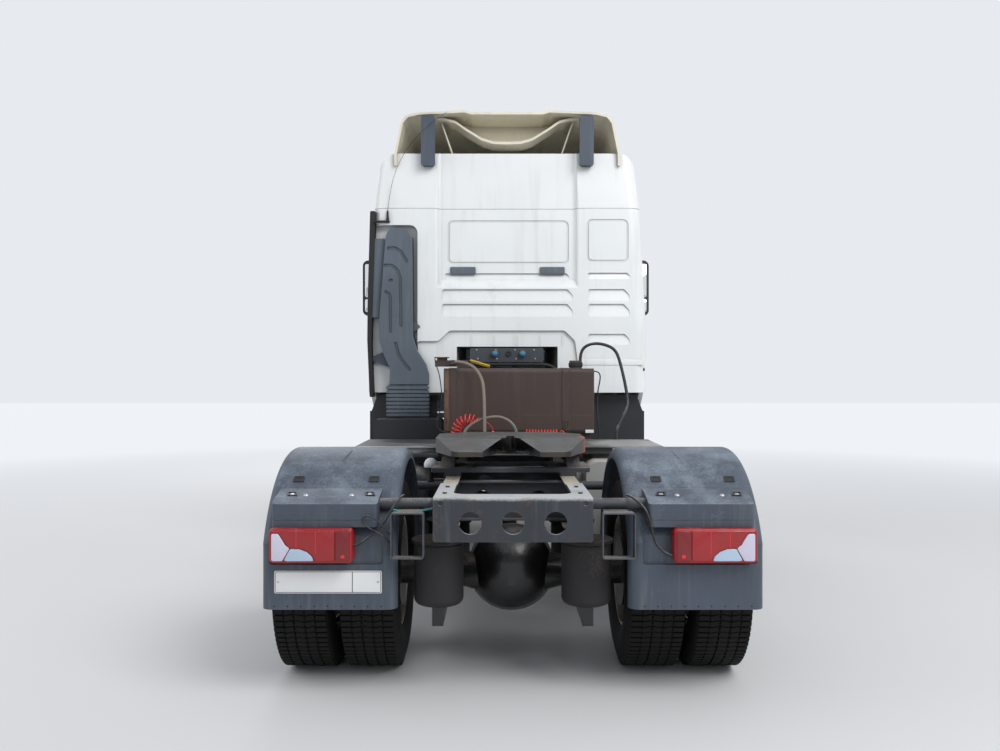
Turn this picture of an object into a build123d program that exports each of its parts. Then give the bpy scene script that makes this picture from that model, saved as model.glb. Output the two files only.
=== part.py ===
from build123d import *
import math
import os

# Cab-over tractor unit with two axles, a sleeper cab and a high roof.
# Millimetres. +X is the vehicle's left, -Y its front, +Z up. The ground is z = 0.

# Overall sizes
WHEELBASE = 3600
FRONT_OVERHANG = 1475
REAR_REACH = 700
CAB_LENGTH = 2300
CAB_HALF = 1220
CAB_FLOOR = 1440
BELT = 2020
SEAM = 3030
ROOF_TOP = 3520
WALL = 40

LENGTH = FRONT_OVERHANG + WHEELBASE + REAR_REACH
FRONT_Y = -LENGTH / 2
FRONT_AXLE_Y = FRONT_Y + FRONT_OVERHANG
REAR_AXLE_Y = FRONT_AXLE_Y + WHEELBASE
CAB_REAR = FRONT_Y + CAB_LENGTH

# Wheels
TYRE_RADIUS = 507
TYRE_WIDTH = 315
RIM_RADIUS = 290
RIM_HALF = 114
DUAL_OFFSET = 170
FRONT_WHEEL_X = 1035
REAR_WHEEL_X = 900
AXLE_Z = TYRE_RADIUS

# Frame
RAIL_HALF = 382
RAIL_HALF_FRONT = 465
RAIL_FLANGE = 85
RAIL_WEB = 8
RAIL_TOP = 985
RAIL_DEPTH = 270
RAIL_DEPTH_END = 200
RAIL_BOTTOM = RAIL_TOP - RAIL_DEPTH
RAIL_FRONT = FRONT_Y + 420
RAIL_REAR = REAR_AXLE_Y + 648
RAIL_WIDE_END = FRONT_Y + 1925
RAIL_NARROW_START = FRONT_Y + 2350
TAPER_START = REAR_AXLE_Y - 100
TAPER_END = REAR_AXLE_Y + 300

# Running clearances
PIN_CLEARANCE = 0.3
SIDE_CLEARANCE = 5
DOOR_GAP = 8


def from_front(distance):
    """Y of a place this far behind the front face."""
    return FRONT_Y + distance


def from_axle(distance):
    """Y of a place this far behind the rear axle."""
    return REAR_AXLE_Y + distance


def outline(points, radius=0):
    """Flat face with straight sides, its corners rounded."""
    face = make_face(Polyline(*points, close=True))
    if radius:
        face = fillet(face.vertices(), radius)
    return face


def side_prism(points, x0, x1, radius=0):
    """Side-view outline of (y, z) points, extruded from x0 to x1."""
    plane = Plane(origin=(x0, 0, 0), x_dir=(0, 1, 0), z_dir=(1, 0, 0))
    return extrude(plane * outline(points, radius), x1 - x0)


def rear_prism(points, y0, y1, radius=0):
    """Rear-view outline of (x, z) points, extruded forward from y1 to y0."""
    plane = Plane(origin=(0, y1, 0), x_dir=(1, 0, 0), z_dir=(0, -1, 0))
    return extrude(plane * outline(points, radius), y1 - y0)


def plan_prism(points, z0, z1, radius=0):
    """Plan outline of (x, y) points, extruded from z0 to z1."""
    return extrude(Plane.XY.offset(z0) * outline(points, radius), z1 - z0)


def block(x0, x1, y0, y1, z0, z1):
    """Box between two corners."""
    centre = ((x0 + x1) / 2, (y0 + y1) / 2, (z0 + z1) / 2)
    return Pos(*centre) * Box(x1 - x0, y1 - y0, z1 - z0)


def rod(start, end, radius):
    """Round bar between two points."""
    direction = Vector(*end) - Vector(*start)
    plane = Plane(origin=start, z_dir=direction)
    return extrude(plane * Circle(radius), direction.length)


def rectangle(x0, x1, z0, z1):
    """Corner points of a rectangle."""
    return [(x0, z0), (x1, z0), (x1, z1), (x0, z1)]


def slot_along(points, width):
    """Flat groove shape of one width along straight runs, round at its ends and corners."""
    shape = Pos(*points[0]) * Circle(width / 2)
    for start, end in zip(points, points[1:]):
        run = Vector(*end) - Vector(*start)
        middle = (Vector(*start) + Vector(*end)) / 2
        angle = math.degrees(math.atan2(run.Y, run.X))
        shape += Pos(middle.X, middle.Y) * Rot(0, 0, angle) * Rectangle(run.length, width)
        shape += Pos(*end) * Circle(width / 2)
    return shape


def plan_section(z, half, front, rear, front_radius, rear_radius, bow):
    """Plan outline at one height: bowed front and four rounded corners."""
    k = math.sqrt(0.5)
    nose = front + bow
    fx = half - front_radius
    rx = half - rear_radius
    f_in = front_radius * (1 - k)
    r_in = rear_radius * (1 - k)
    lines = [
        ThreePointArc((-fx, nose), (0, front), (fx, nose)),
        ThreePointArc((fx, nose), (half - f_in, nose + f_in), (half, nose + front_radius)),
        Line((half, nose + front_radius), (half, rear - rear_radius)),
        ThreePointArc((half, rear - rear_radius), (half - r_in, rear - r_in), (rx, rear)),
        Line((rx, rear), (-rx, rear)),
        ThreePointArc((-rx, rear), (-half + r_in, rear - r_in), (-half, rear - rear_radius)),
        Line((-half, rear - rear_radius), (-half, nose + front_radius)),
        ThreePointArc((-half, nose + front_radius), (-half + f_in, nose + f_in), (-fx, nose)),
    ]
    return Plane.XY.offset(z) * make_face(lines)


def both_sides(solids):
    """The given left-hand solids and their mirror images."""
    return list(solids) + [mirror(solid, about=Plane.YZ) for solid in solids]


def bent_tube(points, radius, bends):
    """Round tube along straight runs joined by tangent arcs."""
    path = FilletPolyline(*points, radius=bends)
    start = path.position_at(0)
    return sweep(Plane(origin=start, z_dir=path.tangent_at(0)) * Circle(radius), path=path)


def bend_radii(points):
    """The largest tangent arc that each corner of a route leaves room for."""
    radii = []
    for before, corner, after in zip(points, points[1:], points[2:]):
        arriving = Vector(*corner) - Vector(*before)
        leaving = Vector(*after) - Vector(*corner)
        turn = math.radians(arriving.get_angle(leaving))
        radii.append(0.45 * min(arriving.length, leaving.length) / math.tan(turn / 2))
    return radii


def solids_of(shape):
    """All solids of a shape or of a list of shapes."""
    if isinstance(shape, (list, tuple)):
        return [solid for item in shape for solid in solids_of(item)]
    return list(shape.solids())


# Frame

def rail_depth_outline(inset):
    """Side view of a rail: full depth at the front, shallower behind the rear axle."""
    low = RAIL_BOTTOM + inset
    low_end = RAIL_TOP - RAIL_DEPTH_END + inset
    top = RAIL_TOP - inset
    return [
        (RAIL_FRONT, low), (TAPER_START, low), (TAPER_END, low_end),
        (RAIL_REAR, low_end), (RAIL_REAR, top), (RAIL_FRONT, top),
    ]


def rail_plan(outer_inset, width):
    """Plan of the left rail, or of the pocket between its flanges."""
    front = RAIL_HALF_FRONT - outer_inset
    rear = RAIL_HALF - outer_inset
    return [
        (front, RAIL_FRONT), (front, RAIL_WIDE_END), (rear, RAIL_NARROW_START), (rear, RAIL_REAR),
        (rear - width, RAIL_REAR), (rear - width, RAIL_NARROW_START),
        (front - width, RAIL_WIDE_END), (front - width, RAIL_FRONT),
    ]


def frame_rails():
    """Two C-section rails, open towards each other."""
    body = plan_prism(rail_plan(0, RAIL_FLANGE), RAIL_BOTTOM, RAIL_TOP)
    body &= side_prism(rail_depth_outline(0), 0, RAIL_HALF_FRONT)
    pocket = plan_prism(rail_plan(RAIL_WEB, RAIL_FLANGE), RAIL_BOTTOM, RAIL_TOP)
    pocket &= side_prism(rail_depth_outline(RAIL_WEB), 0, RAIL_HALF_FRONT)
    return both_sides([body - pocket])


CROSSMEMBER_FLANGE = 70
CROSSMEMBER_Y = {
    "front": from_front(520),
    "gearbox": from_front(3040),
    "middle": from_axle(-1120),
    "axle": from_axle(-330),
}


def crossmembers():
    """C-section members between the rail webs, each with two lightening holes."""
    members = []
    for name, y in CROSSMEMBER_Y.items():
        half = (RAIL_HALF_FRONT if name == "front" else RAIL_HALF) - RAIL_WEB
        low = RAIL_BOTTOM + 2.5 * RAIL_WEB
        high = RAIL_TOP - 2.5 * RAIL_WEB
        web = RAIL_WEB
        section = [
            (y, low), (y + CROSSMEMBER_FLANGE, low), (y + CROSSMEMBER_FLANGE, low + web),
            (y + web, low + web), (y + web, high - web), (y + CROSSMEMBER_FLANGE, high - web),
            (y + CROSSMEMBER_FLANGE, high), (y, high),
        ]
        member = side_prism(section, -half, half)
        for x in (-0.45 * half, 0.45 * half):
            member -= rod((x, y - 1, (low + high) / 2), (x, y + web + 1, (low + high) / 2), 55)
        members.append(member)
    return members


# End crossmember: a hat plate across the rail ends with a top flange and two ears
END_PLATE = 12
END_HALF = 387
END_LOW = 784
END_TOP_FLANGE = 145
END_EAR_REACH = 587
END_ROUND = 22
END_CORNER = 14
END_OPENING_RADIUS = 62
END_HOLE_RADIUS = 55
END_HOLE_X = (-207, 0, 207)
END_HOLE_Z = 876
EAR_BOLT_Y = (180, 425)
CORNER_HOLE = (351, 971)
CORNER_HOLE_RADIUS = 12


def end_crossmember():
    """Plate across the rail ends; its top is bent over, and its ears lie on the rails."""
    back = RAIL_REAR + END_PLATE
    high = RAIL_TOP + END_PLATE
    ear_front = back - END_EAR_REACH
    plate = rear_prism(rectangle(-END_HALF, END_HALF, END_LOW, high), RAIL_REAR, back)
    low_corners = plate.edges().filter_by(Axis.Y).group_by(Axis.Z)[0]
    plate = fillet(low_corners, END_CORNER)
    plate += block(-END_HALF, END_HALF, ear_front, back, RAIL_TOP, high)
    bend = plate.edges().filter_by(Axis.X).sort_by(lambda edge: edge.center().Y + edge.center().Z)[-1]
    plate = fillet([bend], END_ROUND)
    inner = RAIL_HALF - RAIL_FLANGE
    opening = [
        (-inner, ear_front - 2 * END_OPENING_RADIUS), (inner, ear_front - 2 * END_OPENING_RADIUS),
        (inner, back - END_TOP_FLANGE), (-inner, back - END_TOP_FLANGE),
    ]
    plate -= plan_prism(opening, RAIL_TOP - 1, high + 1, END_OPENING_RADIUS)
    for x in END_HOLE_X:
        plate -= rod((x, RAIL_REAR - 1, END_HOLE_Z), (x, back + 1, END_HOLE_Z), END_HOLE_RADIUS)
    for side in (-1, 1):
        x = side * CORNER_HOLE[0]
        plate -= rod((x, back - 8, CORNER_HOLE[1]), (x, back + 1, CORNER_HOLE[1]), CORNER_HOLE_RADIUS)
        for reach in EAR_BOLT_Y:
            centre = (side * (RAIL_HALF - RAIL_FLANGE / 2), ear_front + reach)
            plate += rod((*centre, high), (*centre, high + 9), 11)
    return [plate]


# Fifth wheel
COUPLING_Y = from_axle(-550)
COUPLING_TOP = 1210
BASE_LOW = 1008
BASE_TOP = 1033
BASE_REACH = 200
BASE_HALF = 475
BASE_ANGLE = 12
PIVOT_Z = 1095
PIVOT_RADIUS = 20
PEDESTAL_X = (340, 420)
PEDESTAL_CAP = 34
LUG_THICKNESS = 18
KINGPIN_RADIUS = 25.5
COUPLING_SKIRT = 85
COUPLING_PLATE = 16
JAW_HALF = 95


def fifth_wheel_base():
    """Base plate on the rails with angle irons, and two pedestals with pivot bores."""
    front = COUPLING_Y - BASE_REACH
    rear = COUPLING_Y + BASE_REACH
    plate = plan_prism(
        [(-BASE_HALF, front), (BASE_HALF, front), (BASE_HALF, rear), (-BASE_HALF, rear)],
        BASE_LOW, BASE_TOP, 25)
    window = [(-230, front + 60), (230, front + 60), (230, rear - 60), (-230, rear - 60)]
    plate -= plan_prism(window, BASE_LOW, BASE_TOP, 60)
    for side in (-1, 1):
        rail = sorted((side * (RAIL_HALF - RAIL_FLANGE), side * (RAIL_HALF + BASE_ANGLE)))
        plate += block(*rail, front, rear, RAIL_TOP, BASE_LOW)
        angle = sorted((side * RAIL_HALF, side * (RAIL_HALF + BASE_ANGLE)))
        plate += block(*angle, front, rear, RAIL_TOP - 150, RAIL_TOP)
        profile = [
            (COUPLING_Y - 150, BASE_TOP), (COUPLING_Y + 150, BASE_TOP),
            (COUPLING_Y + PEDESTAL_CAP, PIVOT_Z), (COUPLING_Y - PEDESTAL_CAP, PIVOT_Z),
        ]
        span = sorted(side * x for x in PEDESTAL_X)
        plate += side_prism(profile, *span)
        plate += rod((span[0], COUPLING_Y, PIVOT_Z), (span[1], COUPLING_Y, PIVOT_Z), PEDESTAL_CAP)
        bore = PIVOT_RADIUS + PIN_CLEARANCE
        plate -= rod((span[0] - 1, COUPLING_Y, PIVOT_Z), (span[1] + 1, COUPLING_Y, PIVOT_Z), bore)
    return [plate]


def coupling_plan(inset):
    """Plan outline of the coupling plate, with its two rear horns joined."""
    half = 450 - inset
    front = COUPLING_Y - 400 + inset
    rear = COUPLING_Y + 470 - inset
    return [
        (-280, front), (280, front), (half, COUPLING_Y - 230), (half, COUPLING_Y + 150),
        (half - 120, rear), (-half + 120, rear), (-half, COUPLING_Y + 150), (-half, COUPLING_Y - 230),
    ]


def ramp_outline(extra):
    """Side outline of what the sloped horns leave out above them."""
    top = COUPLING_TOP
    return [
        (COUPLING_Y + 200, top), (COUPLING_Y + 200, top + extra), (COUPLING_Y + 490, top + extra),
        (COUPLING_Y + 490, top - 62),
    ] if extra else [(COUPLING_Y + 200, top), (COUPLING_Y + 490, top), (COUPLING_Y + 490, top - 62)]


def coupling_throat(low, high, grow):
    """Slot for the kingpin, opening rearwards into a wide mouth."""
    narrow = KINGPIN_RADIUS + grow
    slot_end = COUPLING_Y + 130
    mouth = [
        (-narrow, COUPLING_Y), (narrow, COUPLING_Y), (narrow, slot_end),
        (170 + grow, COUPLING_Y + 480), (-170 - grow, COUPLING_Y + 480), (-narrow, slot_end),
    ]
    return plan_prism(mouth, low, high) + rod((0, COUPLING_Y, low), (0, COUPLING_Y, high), narrow)


def fifth_wheel():
    """Coupling plate with skirt, jaw housing, throat, sloped horns and pivot lugs."""
    top = COUPLING_TOP
    low = top - COUPLING_SKIRT
    under = top - COUPLING_PLATE
    body = plan_prism(coupling_plan(0), low, top, 60)
    cavity = plan_prism(coupling_plan(22), low, under, 45)
    cavity -= side_prism([(y, z - COUPLING_PLATE) for y, z in ramp_outline(0)], -500, 500)
    body -= cavity
    body += block(-JAW_HALF, JAW_HALF, COUPLING_Y - 120, COUPLING_Y + 130, low, under)
    walls = coupling_throat(low, under, 24) & plan_prism(coupling_plan(0), low, under, 60)
    body += walls
    for y in (COUPLING_Y - 230, COUPLING_Y + 40):
        body += block(-430, -JAW_HALF, y, y + 16, low, under)
        body += block(JAW_HALF, 430, y, y + 16, low, under)
    body -= coupling_throat(low - 1, top + 1, 0)
    body -= side_prism(ramp_outline(1), -500, 500)
    for side in (-1, 1):
        for edge in (PEDESTAL_X[0] - SIDE_CLEARANCE - LUG_THICKNESS, PEDESTAL_X[1] + SIDE_CLEARANCE):
            span = sorted((side * edge, side * (edge + LUG_THICKNESS)))
            lug = side_prism([
                (COUPLING_Y - 80, under), (COUPLING_Y - 30, PIVOT_Z),
                (COUPLING_Y + 30, PIVOT_Z), (COUPLING_Y + 80, under),
            ], *span)
            lug += rod((span[0], COUPLING_Y, PIVOT_Z), (span[1], COUPLING_Y, PIVOT_Z), 30)
            body += lug
        pin = sorted((
            side * (PEDESTAL_X[0] - SIDE_CLEARANCE - LUG_THICKNESS),
            side * (PEDESTAL_X[1] + SIDE_CLEARANCE + LUG_THICKNESS),
        ))
        body += rod((pin[0], COUPLING_Y, PIVOT_Z), (pin[1], COUPLING_Y, PIVOT_Z), PIVOT_RADIUS)
    return [body]


# Rear axle and suspension
DIFF_RADIUS = 240
DIFF_Z = 527
DIFF_RIM = 14
DIFF_RIM_END = 22
DIFF_REACH = 205
AXLE_TUBE = 75
SPINDLE_RADIUS = 60
HUB_CLEARANCE = 0.3
ARM_X = 372
ARM_WIDTH = 55
ARM_LOW = 346
ARM_HIGH = 438
POT_RADIUS = 125
POT_Y = 450
POT_FLANGE = 15
LOBE_ROUND = 34


def rear_axle():
    """Drive head, axle tubes, spindles and the two carrier arms under the air springs."""
    y = REAR_AXLE_Y
    dome = DIFF_RADIUS - DIFF_RIM
    centre = (DIFF_REACH ** 2 - dome ** 2 - DIFF_RIM_END ** 2) / (2 * (DIFF_REACH - DIFF_RIM_END))
    start = math.atan2(DIFF_RIM_END - centre, dome)
    middle = (start + math.pi / 2) / 2
    bulge = DIFF_REACH - centre
    crown = (bulge * math.cos(middle), centre + bulge * math.sin(middle))
    profile = [
        Polyline((0, DIFF_REACH), (0, -160), (150, -160), (dome, -70), (dome, 0), (DIFF_RADIUS, 0),
                 (DIFF_RADIUS, DIFF_RIM_END), (dome, DIFF_RIM_END)),
        ThreePointArc((dome, DIFF_RIM_END), crown, (0, DIFF_REACH)),
    ]
    section = Plane(origin=(0, y, DIFF_Z), x_dir=(1, 0, 0), z_dir=(0, 0, 1)) * make_face(profile)
    head = revolve(section, axis=Axis((0, y, DIFF_Z), (0, 1, 0)))
    head += block(-22, 22, y + 100, y + DIFF_REACH + 7, DIFF_Z - 60, DIFF_Z + 60)
    head += rod((0, y - 330, AXLE_Z + 30), (0, y, AXLE_Z + 30), 110)
    cone = Plane(origin=(150, y, AXLE_Z), x_dir=(0, 1, 0), z_dir=(1, 0, 0))
    for side in (1, -1):
        tube = loft([cone * Circle(120), cone.offset(170) * Circle(AXLE_TUBE)])
        tube += rod((320, y, AXLE_Z), (650, y, AXLE_Z), AXLE_TUBE)
        tube += rod((600, y, AXLE_Z), (650, y, AXLE_Z), 190)
        tube += rod((650, y, AXLE_Z), (REAR_WHEEL_X + 150, y, AXLE_Z), SPINDLE_RADIUS)
        reach = POT_Y + 90
        arm = side_prism([
            (y - reach, ARM_LOW), (y + reach, ARM_LOW), (y + reach, ARM_HIGH), (y + 150, ARM_HIGH),
            (y + 90, AXLE_Z + 20), (y - 90, AXLE_Z + 20), (y - 150, ARM_HIGH), (y - reach, ARM_HIGH),
        ], ARM_X - ARM_WIDTH / 2, ARM_X + ARM_WIDTH / 2)
        half = tube + arm
        head += half if side > 0 else mirror(half, about=Plane.YZ)
    return [head]


def rail_bottom_at(y):
    """Height of a rail's lower face."""
    share = min(max((y - TAPER_START) / (TAPER_END - TAPER_START), 0), 1)
    return RAIL_BOTTOM + share * (RAIL_DEPTH - RAIL_DEPTH_END)


def air_springs():
    """Four rolling-lobe air springs between the carrier arms and the rails."""
    pots = []
    for y in (REAR_AXLE_Y - POT_Y, REAR_AXLE_Y + POT_Y):
        top = rail_bottom_at(y) - (POT_FLANGE if y < REAR_AXLE_Y else 35)
        x = ARM_X
        pot = rod((x, y, ARM_HIGH), (x, y, top), POT_RADIUS)
        rims = pot.edges().filter_by(GeomType.CIRCLE).sort_by(Axis.Z)
        pot = fillet(rims[0], LOBE_ROUND)
        rims = pot.edges().filter_by(GeomType.CIRCLE).sort_by(Axis.Z)
        pot = fillet(rims[-1], 12)
        pot += rod((x, y, top), (x, y, top + POT_FLANGE), POT_RADIUS + 12)
        bracket_top = rail_bottom_at(y)
        if bracket_top > top + POT_FLANGE:
            pot += block(RAIL_HALF - RAIL_FLANGE, RAIL_HALF, y - 60, y + 60, top, bracket_top)
        pots.append(pot)
    return both_sides(pots)


GEARBOX_END = from_front(2900)
SHAFT_Z = 680


def propshaft():
    """Tube between gearbox and drive head with a joint flange at each end."""
    start = Vector(0, GEARBOX_END + PIN_CLEARANCE, SHAFT_Z)
    end = Vector(0, REAR_AXLE_Y - 330 - PIN_CLEARANCE, AXLE_Z + 30)
    step = (end - start).normalized()
    shaft = rod(tuple(start + step * 60), tuple(end - step * 60), 52)
    shaft += rod(tuple(start + step * 22), tuple(start + step * 160), 36)
    shaft += rod(tuple(end - step * 160), tuple(end - step * 22), 36)
    shaft += rod(tuple(start), tuple(start + Vector(0, 30, 0)), 75)
    shaft += rod(tuple(end - Vector(0, 30, 0)), tuple(end), 75)
    return [shaft]


ENGINE_HALF = 300
ENGINE_FRONT = from_front(640)
ENGINE_REAR = from_front(1950)


def engine():
    """Engine, radiator and gearbox as one plain mass."""
    body = side_prism([
        (ENGINE_FRONT, 760), (ENGINE_REAR, 760), (ENGINE_REAR, 1480), (ENGINE_FRONT, 1480),
    ], -ENGINE_HALF, ENGINE_HALF)
    body += block(-180, 180, ENGINE_FRONT + 60, ENGINE_REAR - 200, 1480, 1600)
    body += block(-190, 190, ENGINE_FRONT + 100, ENGINE_REAR - 100, 620, 760)
    body += block(-360, 360, from_front(530 + CROSSMEMBER_FLANGE), ENGINE_FRONT, 760, 1420)
    bell = Plane(origin=(0, ENGINE_REAR, 890), x_dir=(1, 0, 0), z_dir=(0, 1, 0))
    tail = Plane(origin=(0, from_front(2450), 850), x_dir=(1, 0, 0), z_dir=(0, 1, 0))
    body += loft([bell * Circle(270), tail * Circle(220)])
    body += rod((0, from_front(2450), 800), (0, from_front(2800), 800), 190)
    body += rod((0, from_front(2700), SHAFT_Z), (0, GEARBOX_END, SHAFT_Z), 90)
    return [body]


# Front axle
KINGPIN_X = 930
BOSS_RADIUS = 45
BOSS_LOW = 440
BOSS_HIGH = 580
STEER_PIN = 24.7
STEER_BORE = 25
EAR = 38
ARM_LOW_Z = BOSS_LOW - SIDE_CLEARANCE - EAR
ARM_REACH = 175
ARM_THICK = 28
ROD_EYE = 30
ROD_EYE_HALF = 24
TRACK_ROD_Z = ARM_LOW_Z - SIDE_CLEARANCE - ROD_EYE_HALF
BALL_PIN = 12
SPRING_X = RAIL_HALF_FRONT - RAIL_FLANGE / 2
SPRING_HALF = 40
SPRING_LOW = 560
SPRING_CLAMP = 75
SPRING_REACH = 770


def front_axle():
    """Forged beam with a dropped middle, spring seats and a kingpin boss at each end."""
    half = [
        (0, 350), (380, 350), (620, 410), (780, 440), (KINGPIN_X, 450),
        (KINGPIN_X, 560), (780, 550), (620, 520), (SPRING_X + 75, 470), (SPRING_X + 75, SPRING_LOW),
        (SPRING_X - 75, SPRING_LOW), (SPRING_X - 75, 455), (0, 455),
    ]
    beam = rear_prism(half, FRONT_AXLE_Y - 50, FRONT_AXLE_Y + 50)
    centre = (KINGPIN_X, FRONT_AXLE_Y)
    beam += rod((*centre, BOSS_LOW), (*centre, BOSS_HIGH), BOSS_RADIUS)
    for y0, y1 in ((-51, -22), (22, 51)):
        flute = [
            (0, 375), (370, 375), (600, 433), (760, 462), (760, 525), (600, 495), (330, 430), (0, 430),
        ]
        beam -= rear_prism(flute, FRONT_AXLE_Y + y0, FRONT_AXLE_Y + y1)
    beam -= rod((*centre, BOSS_LOW - 1), (*centre, BOSS_HIGH + 1), STEER_BORE)
    return [beam + mirror(beam, about=Plane.YZ)]


def knuckle():
    """Left steering knuckle: two ears with the kingpin, spindle, brake plate and track arm."""
    y = FRONT_AXLE_Y
    low = ARM_LOW_Z
    high = BOSS_HIGH + SIDE_CLEARANCE + EAR
    body = rod((KINGPIN_X, y, low), (KINGPIN_X, y, high), STEER_PIN)
    web = KINGPIN_X + BOSS_RADIUS + 8
    for z in (low, high - EAR):
        body += rod((KINGPIN_X, y, z), (KINGPIN_X, y, z + EAR), BOSS_RADIUS)
        body += block(KINGPIN_X, web + 30, y - 40, y + 40, z, z + EAR)
    body += block(web, web + 30, y - 60, y + 60, low, high)
    body += rod((web, y, AXLE_Z), (FRONT_WHEEL_X + 150, y, AXLE_Z), SPINDLE_RADIUS - 8)
    reach = y + ARM_REACH
    body += plan_prism([
        (KINGPIN_X - 24, y + 20), (web + 30, y + 20), (web + 30, y + 60),
        (KINGPIN_X + 24, reach), (KINGPIN_X - 24, reach),
    ], low, low + ARM_THICK)
    body += rod((KINGPIN_X, reach, low), (KINGPIN_X, reach, low + ARM_THICK), 26)
    pin_low = TRACK_ROD_Z - ROD_EYE_HALF - 6
    body += rod((KINGPIN_X, reach, pin_low), (KINGPIN_X, reach, low + ARM_THICK / 2), BALL_PIN)
    return body


def track_rod():
    """Tube between the two track arms, with an eye at each end."""
    y = FRONT_AXLE_Y + ARM_REACH
    low = TRACK_ROD_Z - ROD_EYE_HALF
    high = TRACK_ROD_Z + ROD_EYE_HALF
    tube_end = KINGPIN_X - 0.6 * ROD_EYE
    body = rod((-tube_end, y, TRACK_ROD_Z), (tube_end, y, TRACK_ROD_Z), 0.7 * ROD_EYE)
    for x in (-KINGPIN_X, KINGPIN_X):
        body += rod((x, y, low), (x, y, high), ROD_EYE)
        body -= rod((x, y, low - 1), (x, y, high + 1), BALL_PIN + PIN_CLEARANCE)
    return [body]


def leaf_springs():
    """Parabolic leaf springs with hangers up to the rails."""
    y = FRONT_AXLE_Y
    front = y - SPRING_REACH
    rear = y + SPRING_REACH
    rise = 90
    side_plane = Plane(origin=(SPRING_X - SPRING_HALF, 0, 0), x_dir=(0, 1, 0), z_dir=(1, 0, 0))
    profile = make_face([
        ThreePointArc((front, SPRING_LOW + rise), (y, SPRING_LOW), (rear, SPRING_LOW + rise)),
        Line((rear, SPRING_LOW + rise), (rear, SPRING_LOW + rise + 22)),
        ThreePointArc((rear, SPRING_LOW + rise + 22), (y, SPRING_LOW + 48),
                      (front, SPRING_LOW + rise + 22)),
        Line((front, SPRING_LOW + rise + 22), (front, SPRING_LOW + rise)),
    ])
    spring = extrude(side_plane * profile, 2 * SPRING_HALF)
    x0 = SPRING_X - SPRING_HALF
    x1 = SPRING_X + SPRING_HALF
    for end in (front, rear):
        eye = (end, SPRING_LOW + rise + 11)
        spring += rod((x0, *eye), (x1, *eye), 34)
        spring += side_prism([
            (end - 26, eye[1]), (end + 26, eye[1]), (end + 60, RAIL_BOTTOM), (end - 60, RAIL_BOTTOM),
        ], x0, x1)
    spring += block(x0 - 12, x1 + 12, y - SPRING_CLAMP, y + SPRING_CLAMP, SPRING_LOW, SPRING_LOW + 66)
    return both_sides([spring])


# Wheels

def tyre(x, y):
    """Truck tyre with a round sidewall and a flat tread, centred at x."""
    half = TYRE_WIDTH / 2
    bead = RIM_HALF - 0.5
    tread = half - 27
    lines = [
        Line((-bead, RIM_RADIUS + 0.3), (bead, RIM_RADIUS + 0.3)),
        Line((bead, RIM_RADIUS + 0.3), (bead, RIM_RADIUS + 14)),
        ThreePointArc((bead, RIM_RADIUS + 14), (half, RIM_RADIUS + 115), (tread + 12, TYRE_RADIUS - 14)),
        Line((tread + 12, TYRE_RADIUS - 14), (tread, TYRE_RADIUS - 2)),
        ThreePointArc((tread, TYRE_RADIUS - 2), (0, TYRE_RADIUS), (-tread, TYRE_RADIUS - 2)),
        Line((-tread, TYRE_RADIUS - 2), (-tread - 12, TYRE_RADIUS - 14)),
        ThreePointArc((-tread - 12, TYRE_RADIUS - 14), (-half, RIM_RADIUS + 115), (-bead, RIM_RADIUS + 14)),
        Line((-bead, RIM_RADIUS + 14), (-bead, RIM_RADIUS + 0.3)),
    ]
    plane = Plane(origin=(x, y, AXLE_Z), x_dir=(1, 0, 0), z_dir=(0, -1, 0))
    return revolve(plane * make_face(lines), axis=Axis((x, y, AXLE_Z), (1, 0, 0)))


def rim(x, y, disc_side):
    """Steel disc wheel: barrel with two flanges and a dished disc towards disc_side."""
    plane = Plane(origin=(x, y, AXLE_Z), x_dir=(1, 0, 0), z_dir=(0, -1, 0))
    wide = RIM_HALF + 11
    barrel = outline([
        (-wide, RIM_RADIUS + 9), (-RIM_HALF, RIM_RADIUS + 9), (-RIM_HALF, RIM_RADIUS),
        (RIM_HALF, RIM_RADIUS), (RIM_HALF, RIM_RADIUS + 9), (wide, RIM_RADIUS + 9),
        (wide, RIM_RADIUS - 8), (-wide, RIM_RADIUS - 8),
    ])
    d = disc_side
    face = d * DUAL_OFFSET
    disc = outline([
        (d * 60, RIM_RADIUS - 8), (d * 84, RIM_RADIUS - 8), (face, 200), (face, 110),
        (face - d * 12, 110), (face - d * 12, 196),
    ])
    axis = Axis((x, y, AXLE_Z), (1, 0, 0))
    wheel = revolve(plane * barrel, axis=axis) + revolve(plane * disc, axis=axis)
    for number in range(10):
        angle = math.radians(36 * number)
        hole = (y + 235 * math.cos(angle), AXLE_Z + 235 * math.sin(angle))
        wheel -= rod((x + d * 40, *hole), (x + d * 200, *hole), 26)
    return wheel


def hub(x0, x1, y, radius, bore, bore_end, cap):
    """Wheel hub with a blind bore for its spindle, and an outer cap."""
    body = rod((x0, y, AXLE_Z), (x1, y, AXLE_Z), radius)
    body += rod((x1, y, AXLE_Z), (x1 + cap, y, AXLE_Z), radius - 30)
    return body - rod((x0 - 1, y, AXLE_Z), (bore_end, y, AXLE_Z), bore)


def front_wheel():
    """Left front rim and hub; the disc sits outboard."""
    x = FRONT_WHEEL_X
    y = FRONT_AXLE_Y
    wheel = rim(x, y, 1)
    end = x + 150
    wheel += hub(x + 40, x + DUAL_OFFSET, y, 112, SPINDLE_RADIUS - 8 + HUB_CLEARANCE, end + 2, 14)
    return wheel


def rear_wheel():
    """Left rear twin rims, their discs back to back on one hub."""
    y = REAR_AXLE_Y
    x = REAR_WHEEL_X
    wheel = rim(x - DUAL_OFFSET, y, 1) + rim(x + DUAL_OFFSET, y, -1)
    end = x + 150
    wheel += hub(x - 140, end + 12, y, 112, SPINDLE_RADIUS + HUB_CLEARANCE, end + 2, 18)
    return wheel


# Chassis body parts
BUMPER_LOW = 300
BUMPER_TOP = 1040
BUMPER_DEPTH = 415
BUMPER_WALL = 60
BUMPER_HALF = 1215
LAMP_X = (720, 1120)
LAMP_Z = (620, 880)


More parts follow.
